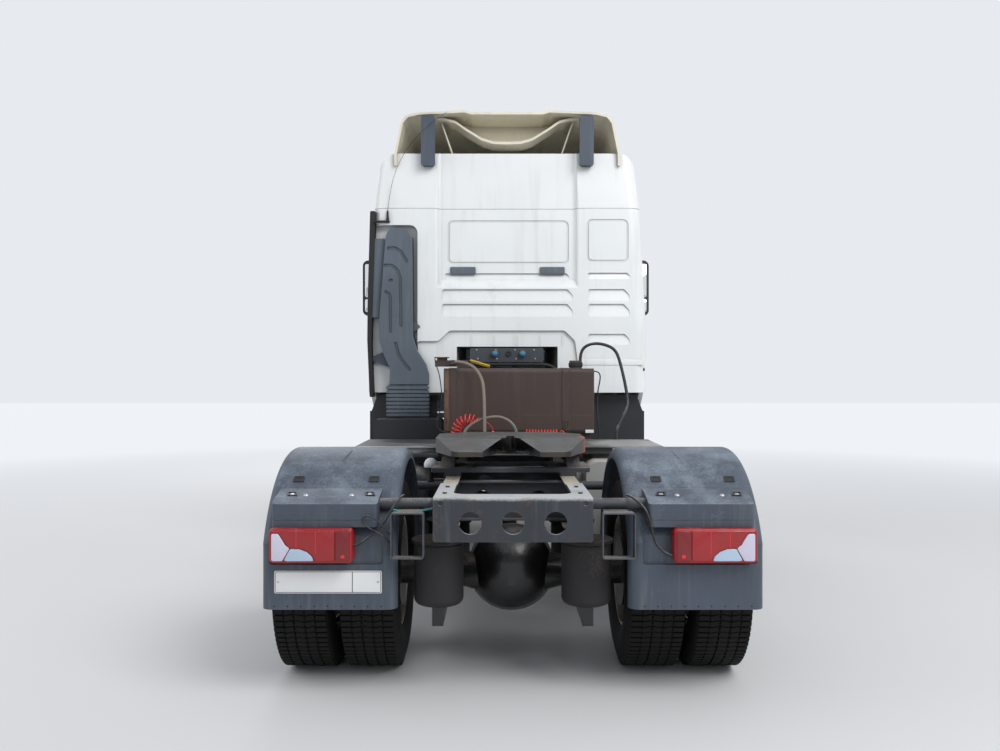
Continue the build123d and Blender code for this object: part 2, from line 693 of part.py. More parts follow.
def front_bumper():
    """Bumper shell with lamp openings, a lower intake and two mounting arms."""
    rear = from_front(BUMPER_DEPTH)
    shape = plan_section(BUMPER_LOW, BUMPER_HALF, FRONT_Y, rear, 200, 8, 90)
    hollow = plan_section(BUMPER_LOW, BUMPER_HALF - BUMPER_WALL, FRONT_Y + BUMPER_WALL,
                          rear + 20, 150, 8, 80)
    shell = extrude(shape, BUMPER_TOP - BUMPER_LOW) - extrude(hollow, BUMPER_TOP - BUMPER_LOW)
    back = from_front(250)
    for side in (-1, 1):
        lamp = sorted(side * x for x in LAMP_X)
        shell -= rear_prism(rectangle(*lamp, *LAMP_Z), FRONT_Y - 10, back, 40)
    shell -= rear_prism(rectangle(-550, 550, 450, 760), FRONT_Y - 10, back, 60)
    for side in (-1, 1):
        arm = sorted((side * (RAIL_HALF_FRONT - RAIL_FLANGE), side * RAIL_HALF_FRONT))
        shell += block(*arm, from_front(BUMPER_WALL + 10), RAIL_FRONT, 800, 960)
    return [shell]


def headlamps():
    """Lamp bodies filling the bumper's openings."""
    rear = from_front(BUMPER_DEPTH)
    x0, x1 = LAMP_X
    z0, z1 = LAMP_Z
    shape = plan_section(BUMPER_LOW, BUMPER_HALF, FRONT_Y, rear, 200, 8, 90)
    inner = plan_section(BUMPER_LOW, BUMPER_HALF - 100, FRONT_Y + 100, rear + 20, 110, 8, 70)
    band = extrude(shape, BUMPER_TOP - BUMPER_LOW) - extrude(inner, BUMPER_TOP - BUMPER_LOW)
    lamp = band & rear_prism(rectangle(x0 + 0.5, x1 - 0.5, z0 + 0.5, z1 - 0.5), FRONT_Y - 10,
                             from_front(250), 39.5)
    return both_sides([lamp])


STEP_FRONT = 430
STEP_REAR = 840
STEP_X = (880, 1215)
STEP_LEVELS = (430, 700, 960)


def entry_steps():
    """Step wells under the doors, each with three treads, carried by a tube from the rail."""
    y0 = from_front(STEP_FRONT)
    y1 = from_front(STEP_REAR)
    x0, x1 = STEP_X
    well = block(x0, x1, y0, y1, 400, 1240)
    for level in STEP_LEVELS:
        pocket = rear_prism(rectangle(x0 + 60, x1 + 5, level, level + 210), y0 + 35, y1 - 35)
        well -= pocket
    well = fillet(well.edges().filter_by(Axis.Z).group_by(Axis.X)[-1].sort_by(Axis.Y)[0], 30)
    well += rod((RAIL_HALF_FRONT, from_front(600), 880), (x0, from_front(600), 880), 35)
    return both_sides([well])


ARCH_RADIUS = 620
ARCH_BAND = 15
ARCH_X = (720, 1220)
SPLASH_Y = from_front(2120)


def front_mudguards():
    """Front wheel arches with an outer face panel and a splash panel behind the wheel."""
    x0, x1 = ARCH_X
    y = FRONT_AXLE_Y
    band = rod((x0, y, AXLE_Z), (x1, y, AXLE_Z), ARCH_RADIUS + ARCH_BAND)
    band -= rod((x0 - 1, y, AXLE_Z), (x1 + 1, y, AXLE_Z), ARCH_RADIUS)
    band &= block(x0, x1, from_front(STEP_REAR + 10), SPLASH_Y, 560, 1300)
    panel = block(x1 - 15, x1, from_front(STEP_REAR + 10), SPLASH_Y, 640, 1262)
    panel -= rod((x1 - 20, y, AXLE_Z), (x1 + 5, y, AXLE_Z), ARCH_RADIUS)
    splash = rear_prism([
        (620, 700), (700, 620), (1150, 620), (1215, 700), (1215, 1230), (1150, 1405), (620, 1405),
    ], SPLASH_Y, SPLASH_Y + 20)
    foot_x = rail_outer_at(SPLASH_Y + 10 - 24)
    stay = rod((foot_x, SPLASH_Y + 10, 850), (620, SPLASH_Y + 10, 850), 24)
    return both_sides([band + panel + splash + stay])


def rail_outer_at(y):
    """X of the left rail's outer face."""
    share = min(max((y - RAIL_WIDE_END) / (RAIL_NARROW_START - RAIL_WIDE_END), 0), 1)
    return RAIL_HALF_FRONT + share * (RAIL_HALF - RAIL_HALF_FRONT)


SIDE_TANK_X = (500, 1150)
SIDE_TANK_Z = (420, 1020)
SIDE_TANK_Y = (-2000, -850)


def side_fuel_tank():
    """Fuel tank on the right rail, on two brackets."""
    x0, x1 = SIDE_TANK_X
    y0, y1 = (from_axle(d) for d in SIDE_TANK_Y)
    tank = rear_prism(rectangle(-x1, -x0, *SIDE_TANK_Z), y0, y1, 90)
    for y in (y0 + 220, y1 - 280):
        tank += block(-x0, -RAIL_HALF, y, y + 60, RAIL_BOTTOM, RAIL_TOP - 20)
    x, reach, end = TANK_HOSE[-1]
    y = TANK_REAR + reach
    tank += rod((x, y, SIDE_TANK_Z[1] - 10), (x, y, end - PIN_CLEARANCE), 20)
    return [tank]


BATTERY_Y = (-2300, -1520)
AIR_TANK_Y = (-1420, -820)


def battery_box():
    """Battery box on the left rail."""
    y0, y1 = (from_axle(d) for d in BATTERY_Y)
    box = rear_prism(rectangle(500, 1120, 470, 980), y0, y1, 30)
    box += block(RAIL_HALF, 500, y0 + 150, y1 - 150, RAIL_BOTTOM + 10, RAIL_TOP - 30)
    return [box]


def air_tanks():
    """Two air reservoirs beside the left rail."""
    y0, y1 = (from_axle(d) for d in AIR_TANK_Y)
    tanks = []
    for z in (560, 840):
        tank = rod((640, y0, z), (640, y1, z), 125)
        tank = fillet(tank.edges(), 40)
        for y in (y0 + 100, y1 - 140):
            tank += block(RAIL_HALF, 600, y, y + 40, z + 20 if z < 700 else z - 60, z + 60)
        tanks.append(tank)
    foot = block(RAIL_HALF, RAIL_HALF + 12, y0 + 60, y1 - 60, 570, RAIL_TOP - 60)
    return [foot + tanks[0] + tanks[1]]


# Rear tank behind the cab, on its cradle
TANK_X = (-668, 500)
TANK_Z = (1130, 1636)
TANK_FRONT = CAB_REAR + 325
TANK_REAR = CAB_REAR + 825
STRAP_X = (-480, 400)
STRAP_WIDTH = 60
STRAP = 4
FILLER_X = -535
ARM_Z = (1650, 1700)
ARM_X_SPAN = (290, 576)
ARM_SET_BACK = 125
HOSE_TAIL_X = 412


def rear_tank():
    """Steel tank across the frame with a filler neck on top."""
    tank = side_prism([
        (TANK_FRONT, TANK_Z[0]), (TANK_REAR, TANK_Z[0]), (TANK_REAR, TANK_Z[1]), (TANK_FRONT, TANK_Z[1]),
    ], *TANK_X, 32)
    middle = (TANK_FRONT + TANK_REAR) / 2 + 120
    tank += rod((FILLER_X, middle, TANK_Z[1]), (FILLER_X, middle, TANK_Z[1] + 62), 50)
    return [tank]


def hose_arm(seat):
    """Bracket on top of the tank that holds the end of a hose, with a small shelf."""
    low, high = ARM_Z
    y = TANK_REAR - ARM_SET_BACK
    arm = block(300, 390, y - 55, y + 55, seat, low)
    arm += block(ARM_X_SPAN[0], ARM_X_SPAN[1], y - 20, y + 20, low, high)
    arm += block(480, 560, y - 20, y + 20, high, high + 18)
    arm += block(465, 578, y - 40, y + 40, high + 18, high + 26)
    arm += block(HOSE_TAIL_X, HOSE_TAIL_X + 28, y + 20, y + 204, high - 30, high)
    return arm


def tank_cradle():
    """Feet on the rails, two cross bearers and the two straps round the tank."""
    pieces = []
    low = TANK_Z[0] - 70
    feet = [
        block(*sorted((side * (RAIL_HALF - RAIL_FLANGE), side * RAIL_HALF)),
              TANK_FRONT, TANK_REAR, RAIL_TOP, low)
        for side in (-1, 1)
    ]
    cradle = feet[0] + feet[1]
    for y in (TANK_FRONT + 60, TANK_REAR - 130):
        cradle += block(TANK_X[0] + 20, TANK_X[1] - 20, y, y + 70, low, TANK_Z[0] - STRAP - 0.3)
    pieces.append(cradle)
    gap = PIN_CLEARANCE
    reach = gap + STRAP
    for x in STRAP_X:
        ring = side_prism([
            (TANK_FRONT - reach, TANK_Z[0] - reach), (TANK_REAR + reach, TANK_Z[0] - reach),
            (TANK_REAR + reach, TANK_Z[1] + reach), (TANK_FRONT - reach, TANK_Z[1] + reach),
        ], x, x + STRAP_WIDTH, 32 + reach)
        ring -= side_prism([
            (TANK_FRONT - gap, TANK_Z[0] - gap), (TANK_REAR + gap, TANK_Z[0] - gap),
            (TANK_REAR + gap, TANK_Z[1] + gap), (TANK_FRONT - gap, TANK_Z[1] + gap),
        ], x - 1, x + STRAP_WIDTH + 1, 32 + gap)
        pieces.append(ring)
    pieces.append(hose_arm(TANK_Z[1] + gap))
    return pieces


DECK_Z = 1100
DECK_HALF = 1050
DECK_FRONT = TANK_REAR + 200
DECK_REAR = from_axle(-1050)


def deck_plate():
    """Walkway plate across the frame on two low brackets."""
    plate = block(-DECK_HALF, DECK_HALF, DECK_FRONT, DECK_REAR, DECK_Z - 5, DECK_Z)
    for y in (DECK_FRONT + 20, DECK_REAR - 60):
        plate += block(-700, 700, y, y + 40, DECK_Z - 45, DECK_Z - 5)
        for side in (-1, 1):
            foot = sorted((side * (RAIL_HALF - RAIL_FLANGE), side * RAIL_HALF))
            plate += block(*foot, y, y + 40, RAIL_TOP, DECK_Z - 45)
    return [plate]


# Rear mudguards
GUARD_X = (565, 1225)
GUARD_RADIUS = 681
GUARD_WALL = 8
GUARD_LIP = 64
GUARD_SHOULDER = 52
GUARD_SEAM = 40
GUARD_BAND_END = 67
GUARD_FRONT_END = 105
PANEL_FACE = GUARD_RADIUS * math.sin(math.radians(GUARD_BAND_END))
PANEL_LOW = 450
HOOD_X = (655, 1166)
HOOD_FACE = 655
HOOD_LOW = 856
HOOD_SHELF = (592, 990)
HOOD_EDGE_Z = 967
HOOD_CREASE = 892
HOOD_ROUND = 12
POCKET_X = (630, 1188)
POCKET_LOW = 668
POCKET_DEPTH = 14
TUBE_RADIUS = 27.5
TUBE_Z = 955
FRONT_TUBE_Z = 900
TUBE_PITCH = GUARD_RADIUS + TUBE_RADIUS + PIN_CLEARANCE
TUBE_Y = math.sqrt(TUBE_PITCH ** 2 - (TUBE_Z - AXLE_Z) ** 2)
FRONT_TUBE_Y = -math.sqrt(TUBE_PITCH ** 2 - (FRONT_TUBE_Z - AXLE_Z) ** 2)


def guard_section(inset, depth):
    """Cross-section of a mudguard as (x, height over the axle): flat with two rounded shoulders."""
    x0 = GUARD_X[0] + inset
    x1 = GUARD_X[1] - inset
    shape = outline(rectangle(x0, x1, AXLE_Z + GUARD_RADIUS - depth, AXLE_Z + GUARD_RADIUS - inset))
    corners = shape.vertices().group_by(Axis.Y)[-1]
    return fillet(corners, GUARD_SHOULDER - inset)


def turned_about_axle(section, rear, front):
    """The section swept round the rear axle between two angles from the top, front ones positive."""
    plane = Plane(origin=(0, REAR_AXLE_Y, 0), x_dir=(1, 0, 0), z_dir=(0, -1, 0))
    axis = Axis((0, REAR_AXLE_Y, AXLE_Z), (1, 0, 0))
    return revolve(plane * section, axis=axis, revolution_arc=front - rear).rotate(axis, rear)


def mudguard_arches():
    """Curved tops and front flaps of the rear mudguards."""
    channel = guard_section(0, GUARD_LIP) - guard_section(GUARD_WALL, GUARD_LIP + GUARD_WALL)
    return both_sides([turned_about_axle(channel, -GUARD_SEAM, GUARD_FRONT_END)])


def guard_band(inset, depth, spare):
    """Filled form of a rear panel: round the wheel below the seam, then straight down."""
    section = guard_section(inset, depth)
    band = turned_about_axle(section, -GUARD_BAND_END, -GUARD_SEAM + spare)
    turn = math.radians(GUARD_BAND_END)
    high = AXLE_Z + (GUARD_RADIUS - inset) * math.cos(turn)
    shift = REAR_AXLE_Y + PANEL_FACE - AXLE_Z - GUARD_RADIUS
    low = PANEL_LOW - 5 * spare
    return band + extrude(Plane(origin=(0, shift, low)) * section, high - low)


def hood_form(inset):
    """Filled form of the hood over the lamp, standing out from the panel."""
    side = [
        (451 + 2 * inset, 1017 - 1.4 * inset), (HOOD_SHELF[0] - 0.3 * inset, HOOD_SHELF[1] - inset),
        (HOOD_FACE - inset, HOOD_EDGE_Z - inset), (HOOD_FACE - inset, HOOD_LOW - inset),
        (540, HOOD_LOW - inset), (451, 940),
    ]
    hood = side_prism([(from_axle(y), z) for y, z in side], HOOD_X[0] + inset, HOOD_X[1] - inset)
    upright = hood.edges().filter_by(Axis.Z).group_by(Axis.Y)[-1]
    return fillet(upright, HOOD_ROUND + 6 - inset)


def rear_mudguards():
    """Rear panels of the rear mudguards, each with a lamp pocket and a hood over it."""
    floor = from_axle(PANEL_FACE - POCKET_DEPTH)
    out = from_axle(PANEL_FACE + 80)
    pocket = rear_prism(rectangle(*POCKET_X, POCKET_LOW, HOOD_LOW + 30), floor, out, 22)
    grown = rectangle(POCKET_X[0] - GUARD_WALL, POCKET_X[1] + GUARD_WALL,
                      POCKET_LOW - GUARD_WALL, HOOD_LOW + 30 + GUARD_WALL)
    pan = rear_prism(grown, floor - GUARD_WALL, out, 30)
    band = guard_band(0, GUARD_LIP, 0)
    shell = (band - pocket) - (guard_band(GUARD_WALL, GUARD_LIP + GUARD_WALL, 1) - pan)
    hood = hood_form(0) - hood_form(GUARD_WALL) - band
    face = from_axle(HOOD_FACE)
    hood -= block(*HOOD_X, face - 3, face + 1, HOOD_CREASE - 4, HOOD_CREASE)
    y = from_axle(TUBE_Y)
    inner = HOOD_X[0]
    hood -= rod((inner - 5, y, TUBE_Z), (inner + 30, y, TUBE_Z), TUBE_RADIUS + PIN_CLEARANCE)
    return both_sides([shell + hood])


HOOP_X = (428, 588)
HOOP_LOW = 708
HOOP_Y = (634, 694)
HOOP_BAR = 6
CLAMP_X = (738, 1000)
CLAMP_HALF = 22


def mudguard_brackets():
    """Tubes from the rails that carry the rear mudguards, with clamps and flat-bar hoops."""
    pieces = []
    tubes = ((TUBE_Y, TUBE_Z, RAIL_HALF), (FRONT_TUBE_Y, FRONT_TUBE_Z, RAIL_HALF + BASE_ANGLE))
    for reach, z, root in tubes:
        y = from_axle(reach)
        tube = rod((root, y, z), (GUARD_X[0] + 560, y, z), TUBE_RADIUS)
        tube += rod((root, y, z), (root + 14, y, z), TUBE_RADIUS + 2)
        pieces.append(tube)
    y = from_axle(TUBE_Y)
    for x in CLAMP_X:
        span = (x - CLAMP_HALF, x + CLAMP_HALF)
        clamp = block(*span, y - CLAMP_HALF, y + CLAMP_HALF, TUBE_Z, TUBE_Z + 90)
        pieces[0] += clamp & hood_form(GUARD_WALL + PIN_CLEARANCE)
    top = TUBE_Z - TUBE_RADIUS + 2
    ring = rear_prism(rectangle(*HOOP_X, HOOP_LOW, top), from_axle(HOOP_Y[0]), from_axle(HOOP_Y[1]), 14)
    hole = rectangle(HOOP_X[0] + HOOP_BAR, HOOP_X[1] - HOOP_BAR, HOOP_LOW + HOOP_BAR, top - HOOP_BAR)
    ring -= rear_prism(hole, from_axle(HOOP_Y[0]) - 1, from_axle(HOOP_Y[1]) + 1, 8)
    span = (HOOP_X[0] + 14, GUARD_X[0] - SIDE_CLEARANCE)
    hanger = block(*span, y - 12, from_axle(HOOP_Y[1]), top - HOOP_BAR, top)
    pieces[0] += ring + hanger
    return both_sides(pieces)


LAMP_X_REAR = (771, 1171)
LAMP_Z_REAR = (689, 855)
LAMP_BACK = 10


def tail_lamps():
    """Rear lamp units in the pockets of the mudguard panels."""
    x0, x1 = LAMP_X_REAR
    low, high = LAMP_Z_REAR
    front = from_axle(HOOD_FACE + 0.3)
    lamp = rear_prism(rectangle(x0, x1, low, high), front, from_axle(REAR_REACH), 22)
    lamp = fillet(lamp.faces().sort_by(Axis.Y)[-1].outer_wire().edges(), 8)
    back = rectangle(x0 + LAMP_BACK, x1 - LAMP_BACK, low + LAMP_BACK, high - 4 * LAMP_BACK)
    floor = from_axle(PANEL_FACE - POCKET_DEPTH + PIN_CLEARANCE)
    lamp += rear_prism(back, floor, front + 5, LAMP_BACK)
    return both_sides([lamp])


# Cab mounts
TILT_Y = from_front(152)
TILT_Z = 1130
TILT_PIN = 10
EYE_RADIUS = 15
EYE_X = (392, 448)
LUG = 15
TUNNEL_HALF = 460
TUNNEL_TOP = 1880
REST_Y = from_front(2165)
REST_DEPTH = 44


def cab_mounts():
    """Front tilt brackets on the rails and the rear cab rest frame."""
    x0, x1 = EYE_X
    arm = side_prism([
        (TILT_Y, TILT_Z - EYE_RADIUS), (from_front(430), RAIL_TOP), (from_front(560), RAIL_TOP),
        (from_front(430), 1090), (TILT_Y + 60, TILT_Z + EYE_RADIUS), (TILT_Y, TILT_Z + EYE_RADIUS),
    ], x0, x1)
    arm += rod((x0, TILT_Y, TILT_Z), (x1, TILT_Y, TILT_Z), EYE_RADIUS)
    arm -= rod((x0 - 1, TILT_Y, TILT_Z), (x1 + 1, TILT_Y, TILT_Z), TILT_PIN + PIN_CLEARANCE)
    outer = rail_outer_at(REST_Y + REST_DEPTH)
    inner = outer - RAIL_FLANGE
    top = CAB_FLOOR - SIDE_CLEARANCE - 1
    post = block(inner, outer, REST_Y, REST_Y + REST_DEPTH, RAIL_TOP, top - 64)
    post += block(inner, TUNNEL_HALF + 100, REST_Y, REST_Y + REST_DEPTH, top - 64, top)
    rest = post + mirror(post, about=Plane.YZ)
    rest += block(-inner, inner, REST_Y, REST_Y + REST_DEPTH, 1290, 1350)
    return both_sides([arm]) + solids_of(rest)


PANEL_Y = CAB_REAR + 150


def coupling_panel():
    """Plate with two round couplings on a post behind the cab."""
    plate = rear_prism(rectangle(-308, 318, 1694, 1813), PANEL_Y, PANEL_Y + 12, 15)
    plate += block(-40, 40, PANEL_Y - 30, PANEL_Y, 1130, 1800)
    inner = RAIL_HALF - RAIL_FLANGE
    plate += block(-inner, inner, PANEL_Y - 40, PANEL_Y + 10, 1082, 1130)
    for side in (-1, 1):
        foot = sorted((side * inner, side * RAIL_HALF))
        plate += block(*foot, PANEL_Y - 40, PANEL_Y + 10, RAIL_TOP, 1130)
    for x in (-129, 106):
        plate += rod((x, PANEL_Y + 12, 1765), (x, PANEL_Y + 50, 1765), 27)
    return [plate]


FILTER_X = (549, 1116)


def air_filter_box():
    """Air filter housing on the left rail, under the intake bellows."""
    x0, x1 = FILTER_X
    box = rear_prism(rectangle(x0, x1, 1007, 1213), CAB_REAR + 10, CAB_REAR + 330, 30)
    box += block(RAIL_HALF - 40, x0 + 60, CAB_REAR + 180, CAB_REAR + 300, RAIL_TOP, 1060)
    return [box]


# Cab form: plan sections of (height, half width, set-back of the front)
FRONT_BOW = 55
FRONT_CORNER = 260
REAR_CORNER = 110
FLANK_X = 603
FLANK_WIDTH = 66
FLANK_DEPTH = 44
FLANK_FOOT = 2342
FLANK_FULL = 2412
CAB_SECTIONS = [
    (1100, CAB_HALF - 5, 75),
    (BELT, CAB_HALF, 75),
    (SEAM, CAB_HALF - 55, 300),
]


def rear_recess(inset, low, high):
    """The middle of the rear wall stands forward of its sides, between two S-shaped flanks."""
    outside = CAB_REAR + 30
    y = CAB_REAR - inset
    deep = y - FLANK_DEPTH
    half = FLANK_X + 0.62 * inset
    bend = FLANK_WIDTH / 2
    turn = 0.3 * bend
    rise = 0.146 * FLANK_DEPTH
    lines = [
        Line((-half - bend, outside), (half + bend, outside)),
        Line((half + bend, outside), (half + bend, y)),
        Line((half - bend, deep), (-half + bend, deep)),
        Line((-half - bend, y), (-half - bend, outside)),
    ]
    for side in (1, -1):
        middle = (side * half, y - FLANK_DEPTH / 2)
        crown = (side * (half + turn), y - rise)
        root = (side * (half - turn), deep + rise)
        lines.append(ThreePointArc((side * (half + bend), y), crown, middle))
        lines.append(ThreePointArc(middle, root, (side * (half - bend), deep)))
    recess = extrude(Plane.XY.offset(low) * make_face(lines), high - low)
    above_foot = [
        (outside, FLANK_FOOT), (y, FLANK_FOOT), (deep, FLANK_FULL), (deep - 5, FLANK_FULL),
        (deep - 5, high + 5), (outside, high + 5),
    ]
    return recess & side_prism(above_foot, -1400, 1400)


def cab_form(inset):
    """Solid of the cab between its lower edge and the roof seam, set in on all sides."""
    sections = [
        plan_section(z, half - inset, from_front(front) + inset, CAB_REAR - inset,
                     FRONT_CORNER - inset, REAR_CORNER - inset, FRONT_BOW)
        for z, half, front in CAB_SECTIONS
    ]
    return loft(sections, ruled=True) - rear_recess(inset, CAB_SECTIONS[0][0] - 1, SEAM + 1)


PILLAR = 415
PILLAR_RAKE = 0.223
DOOR_FRONT = 430
DOOR_REAR = 1430
DOOR_LOW = 1280
DOOR_TOP = 2900
SIDE_LOW = 1280
REAR_LOW = 1430
SKIRT_TOP = 1480
DOOR_THICK = 70
SKIRT_THICK = 32
DOOR_CLEAR_X = CAB_HALF - SKIRT_THICK - 6
REAR_WALL_DEPTH = 150
WINDOW_LOW = BELT + 15
WINDOW_TOP = 2790


def pillar_line(start):
    """Upright line of (distance from front, z) that leans back above the belt."""
    return [
        (from_front(start), 1000), (from_front(start), 2000),
        (from_front(start + PILLAR_RAKE * (SEAM + 20 - 2000)), SEAM + 20),
    ]


def door_outline(grow, front_grow):
    """Side outline of a door, grown by its gap."""
    front = DOOR_FRONT - front_grow
    rake = PILLAR_RAKE * (DOOR_TOP - 2000)
    return [
        (from_front(front), DOOR_LOW - grow), (from_front(DOOR_REAR + grow), DOOR_LOW - grow),
        (from_front(DOOR_REAR + grow), DOOR_TOP + grow), (from_front(front + rake), DOOR_TOP + grow),
        (from_front(front), 2000),
    ]


def cab_shell():
    """Skin of the cab below the seam."""
    return cab_form(0) - cab_form(WALL)


WINDSCREEN = [(-1060, 2070), (1060, 2070), (1000, 2900), (-1000, 2900)]
FLAP_HALF = 900
FLAP_LOW = 1160
FLAP_TOP = 1990
FLAP_TOP_GAP = 14
FLAP_LOW_GAP = 10
FLAP_THICK = 45
FLAP_AXIS_Y = from_front(87)
FLAP_AXIS_Z = 1970
FLAP_HINGE_X = (-230, 230)
FLAP_PIN = 5
FLAP_LUG_HALF = 16
DOOR_AXIS_X = CAB_HALF - 9
DOOR_AXIS_Y = from_front(440)
DOOR_PIN = 4
DOOR_EYE = 6
DOOR_HINGE_Z = (1530, 1900)
DOOR_EYE_HALF = 14


def cab_front_frame(shell):
    """Front of the cab: pillars, header, lower bar and the tilt lugs."""
    line = pillar_line(PILLAR)
    region = side_prism([(FRONT_Y - 50, 1000)] + line + [(FRONT_Y - 50, SEAM + 20)], -1400, 1400)
    frame = shell & region
    frame -= rear_prism(WINDSCREEN, FRONT_Y - 50, from_front(700), 90)
    opening = rectangle(-FLAP_HALF, FLAP_HALF, FLAP_LOW, FLAP_TOP)
    frame -= rear_prism(opening, FRONT_Y - 50, from_front(350), 60)
    wall = from_front(75 + WALL)
    x0, x1 = EYE_X
    for side in (-1, 1):
        for edge in (x0 - SIDE_CLEARANCE - LUG, x1 + SIDE_CLEARANCE):
            span = sorted((side * edge, side * (edge + LUG)))
            frame += block(*span, wall - 5, TILT_Y, TILT_Z - 18, TILT_Z + 18)
            frame += rod((span[0], TILT_Y, TILT_Z), (span[1], TILT_Y, TILT_Z), 18)
        pin = sorted((side * (x0 - SIDE_CLEARANCE - LUG), side * (x1 + SIDE_CLEARANCE + LUG)))
        frame += rod((pin[0], TILT_Y, TILT_Z), (pin[1], TILT_Y, TILT_Z), TILT_PIN)
        for z in DOOR_HINGE_Z:
            eye = rod((DOOR_AXIS_X, DOOR_AXIS_Y, z - DOOR_EYE_HALF),
                      (DOOR_AXIS_X, DOOR_AXIS_Y, z + DOOR_EYE_HALF), DOOR_EYE)
            eye += block(DOOR_AXIS_X - DOOR_EYE, DOOR_AXIS_X + DOOR_EYE - 2, from_front(400),
                         DOOR_AXIS_Y, z - DOOR_EYE_HALF, z + DOOR_EYE_HALF)
            eye += rod((DOOR_AXIS_X, DOOR_AXIS_Y, z - 2.5 * DOOR_EYE_HALF),
                       (DOOR_AXIS_X, DOOR_AXIS_Y, z + 2.5 * DOOR_EYE_HALF), DOOR_PIN)
            frame += eye if side > 0 else mirror(eye, about=Plane.YZ)
    for x in FLAP_HINGE_X:
        lug = block(x - FLAP_LUG_HALF, x + FLAP_LUG_HALF, FLAP_AXIS_Y - 8, FLAP_AXIS_Y + 8,
                    FLAP_AXIS_Z, FLAP_TOP + 5)
        span = (x - FLAP_LUG_HALF, x + FLAP_LUG_HALF)
        lug += rod((span[0], FLAP_AXIS_Y, FLAP_AXIS_Z), (span[1], FLAP_AXIS_Y, FLAP_AXIS_Z), 8)
        lug += rod((x - 3 * FLAP_LUG_HALF, FLAP_AXIS_Y, FLAP_AXIS_Z),
                   (x + 3 * FLAP_LUG_HALF, FLAP_AXIS_Y, FLAP_AXIS_Z), FLAP_PIN)
        frame += lug
    return solids_of(frame)


def windscreen():
    """Bowed glass in the front opening."""
    sheet = cab_form(4) - cab_form(12)
    return solids_of(sheet & rear_prism(WINDSCREEN, FRONT_Y - 50, from_front(640), 90))


def cab_sides(shell):
    """Left and right side walls with the door openings."""
    line = pillar_line(PILLAR)
    rear = CAB_REAR - REAR_WALL_DEPTH
    region = side_prism([
        line[0], (from_front(1900), 1000), (rear, 1000), (rear, SEAM + 20), line[2], line[1],
    ], -1400, 1400)
    sides = shell & region
    sides -= side_prism([
        (FRONT_Y, 1000), (CAB_REAR + 10, 1000), (CAB_REAR + 10, REAR_LOW), (from_front(2100), REAR_LOW),
        (from_front(1900), SIDE_LOW), (FRONT_Y, SIDE_LOW),
    ], -1400, 1400)
    sides -= side_prism(door_outline(DOOR_GAP, DOOR_FRONT - PILLAR + 1), -1400, 1400)
    return solids_of(sides)


def door_parts():
    """Left door leaf and its glass."""
    leaf = cab_form(0) - cab_form(DOOR_THICK)
    prism = side_prism(door_outline(0, 0), 700, 1400, 18)
    leaf &= prism
    leaf -= cab_form(SKIRT_THICK) & block(0, 1400, FRONT_Y, CAB_REAR, 1000, SKIRT_TOP)
    front = DOOR_FRONT + 110
    window = [
        (from_front(front), WINDOW_LOW), (from_front(DOOR_REAR - 110), WINDOW_LOW),
        (from_front(DOOR_REAR - 110), WINDOW_TOP),
        (from_front(front + PILLAR_RAKE * (WINDOW_TOP - 2000)), WINDOW_TOP),
    ]
    cut = side_prism(window, 700, 1400, 50)
    leaf -= cut
    for z in DOOR_HINGE_Z:
        leaf -= block(DOOR_AXIS_X - 32, DOOR_AXIS_X + 30, from_front(DOOR_FRONT) - 5, DOOR_AXIS_Y + 24,
                      z - DOOR_EYE_HALF - 4, z + DOOR_EYE_HALF + 4)
        leaf -= rod((DOOR_AXIS_X, DOOR_AXIS_Y, z - 3 * DOOR_EYE_HALF),
                    (DOOR_AXIS_X, DOOR_AXIS_Y, z + 3 * DOOR_EYE_HALF), DOOR_PIN + PIN_CLEARANCE)
    glass = (cab_form(20) - cab_form(25)) & cut
    return leaf, glass


def front_flap():
    """Front service flap below the windscreen, hinged at its top."""
    slab = cab_form(0) - cab_form(FLAP_THICK)
    side = FLAP_HALF - DOOR_GAP
    shape = rectangle(-side, side, FLAP_LOW + FLAP_LOW_GAP, FLAP_TOP - FLAP_TOP_GAP)
    flap = slab & rear_prism(shape, FRONT_Y - 50, from_front(350), 52)
    for x in FLAP_HINGE_X:
        pocket = FLAP_LUG_HALF + SIDE_CLEARANCE
        flap -= block(x - pocket, x + pocket, FRONT_Y, from_front(200), FLAP_AXIS_Z - 22, FLAP_TOP)
        flap -= rod((x - 4 * FLAP_LUG_HALF, FLAP_AXIS_Y, FLAP_AXIS_Z),
                    (x + 4 * FLAP_LUG_HALF, FLAP_AXIS_Y, FLAP_AXIS_Z), FLAP_PIN + PIN_CLEARANCE)
    return solids_of(flap)


SNORKEL_CHANNEL = [(780, 1300), (1260, 1300), (1260, 2887), (780, 2887)]
CHANNEL_CORNER = 70
CHANNEL_DEPTH = 90
RECESS = 26

# Grooved outlines of the rear wall: (left x, right x, low z, high z)
PANS = [(-539, 521, 2552, 2934), (-1054, -690, 2564, 2938)]
PAN_DEPTH = 8
PAN_CORNER = 50
PAN_GROOVE = 20

# Louvre pressings, deep at the top and run out at the bottom: (left x, right x, low z, high z)
LOUVRES = [
    (-545, 545, 2418, 2472),
    (-576, 572, 2226, 2328),
    (-576, 572, 2090, 2201),
    (-1070, -700, 2418, 2472),
    (-1070, -700, 2226, 2330),
    (-1070, -700, 2090, 2201),
    (-1070, -700, 1845, 1940),
]
LOUVRE_DEPTH = 18
ARCH = [
    (800, REAR_LOW - 10), (800, 1878), (600, 1878), (500, 1970), (-500, 1970), (-590, 1880),
    (-615, 1700), (-615, REAR_LOW - 10),
]
ARCH_CORNER = 50


def wall_face(x, z):
    """Y of the rear wall's outer face at a point."""
    recessed = abs(x) < FLANK_X and z > FLANK_FULL
    return CAB_REAR - FLANK_DEPTH if recessed else CAB_REAR


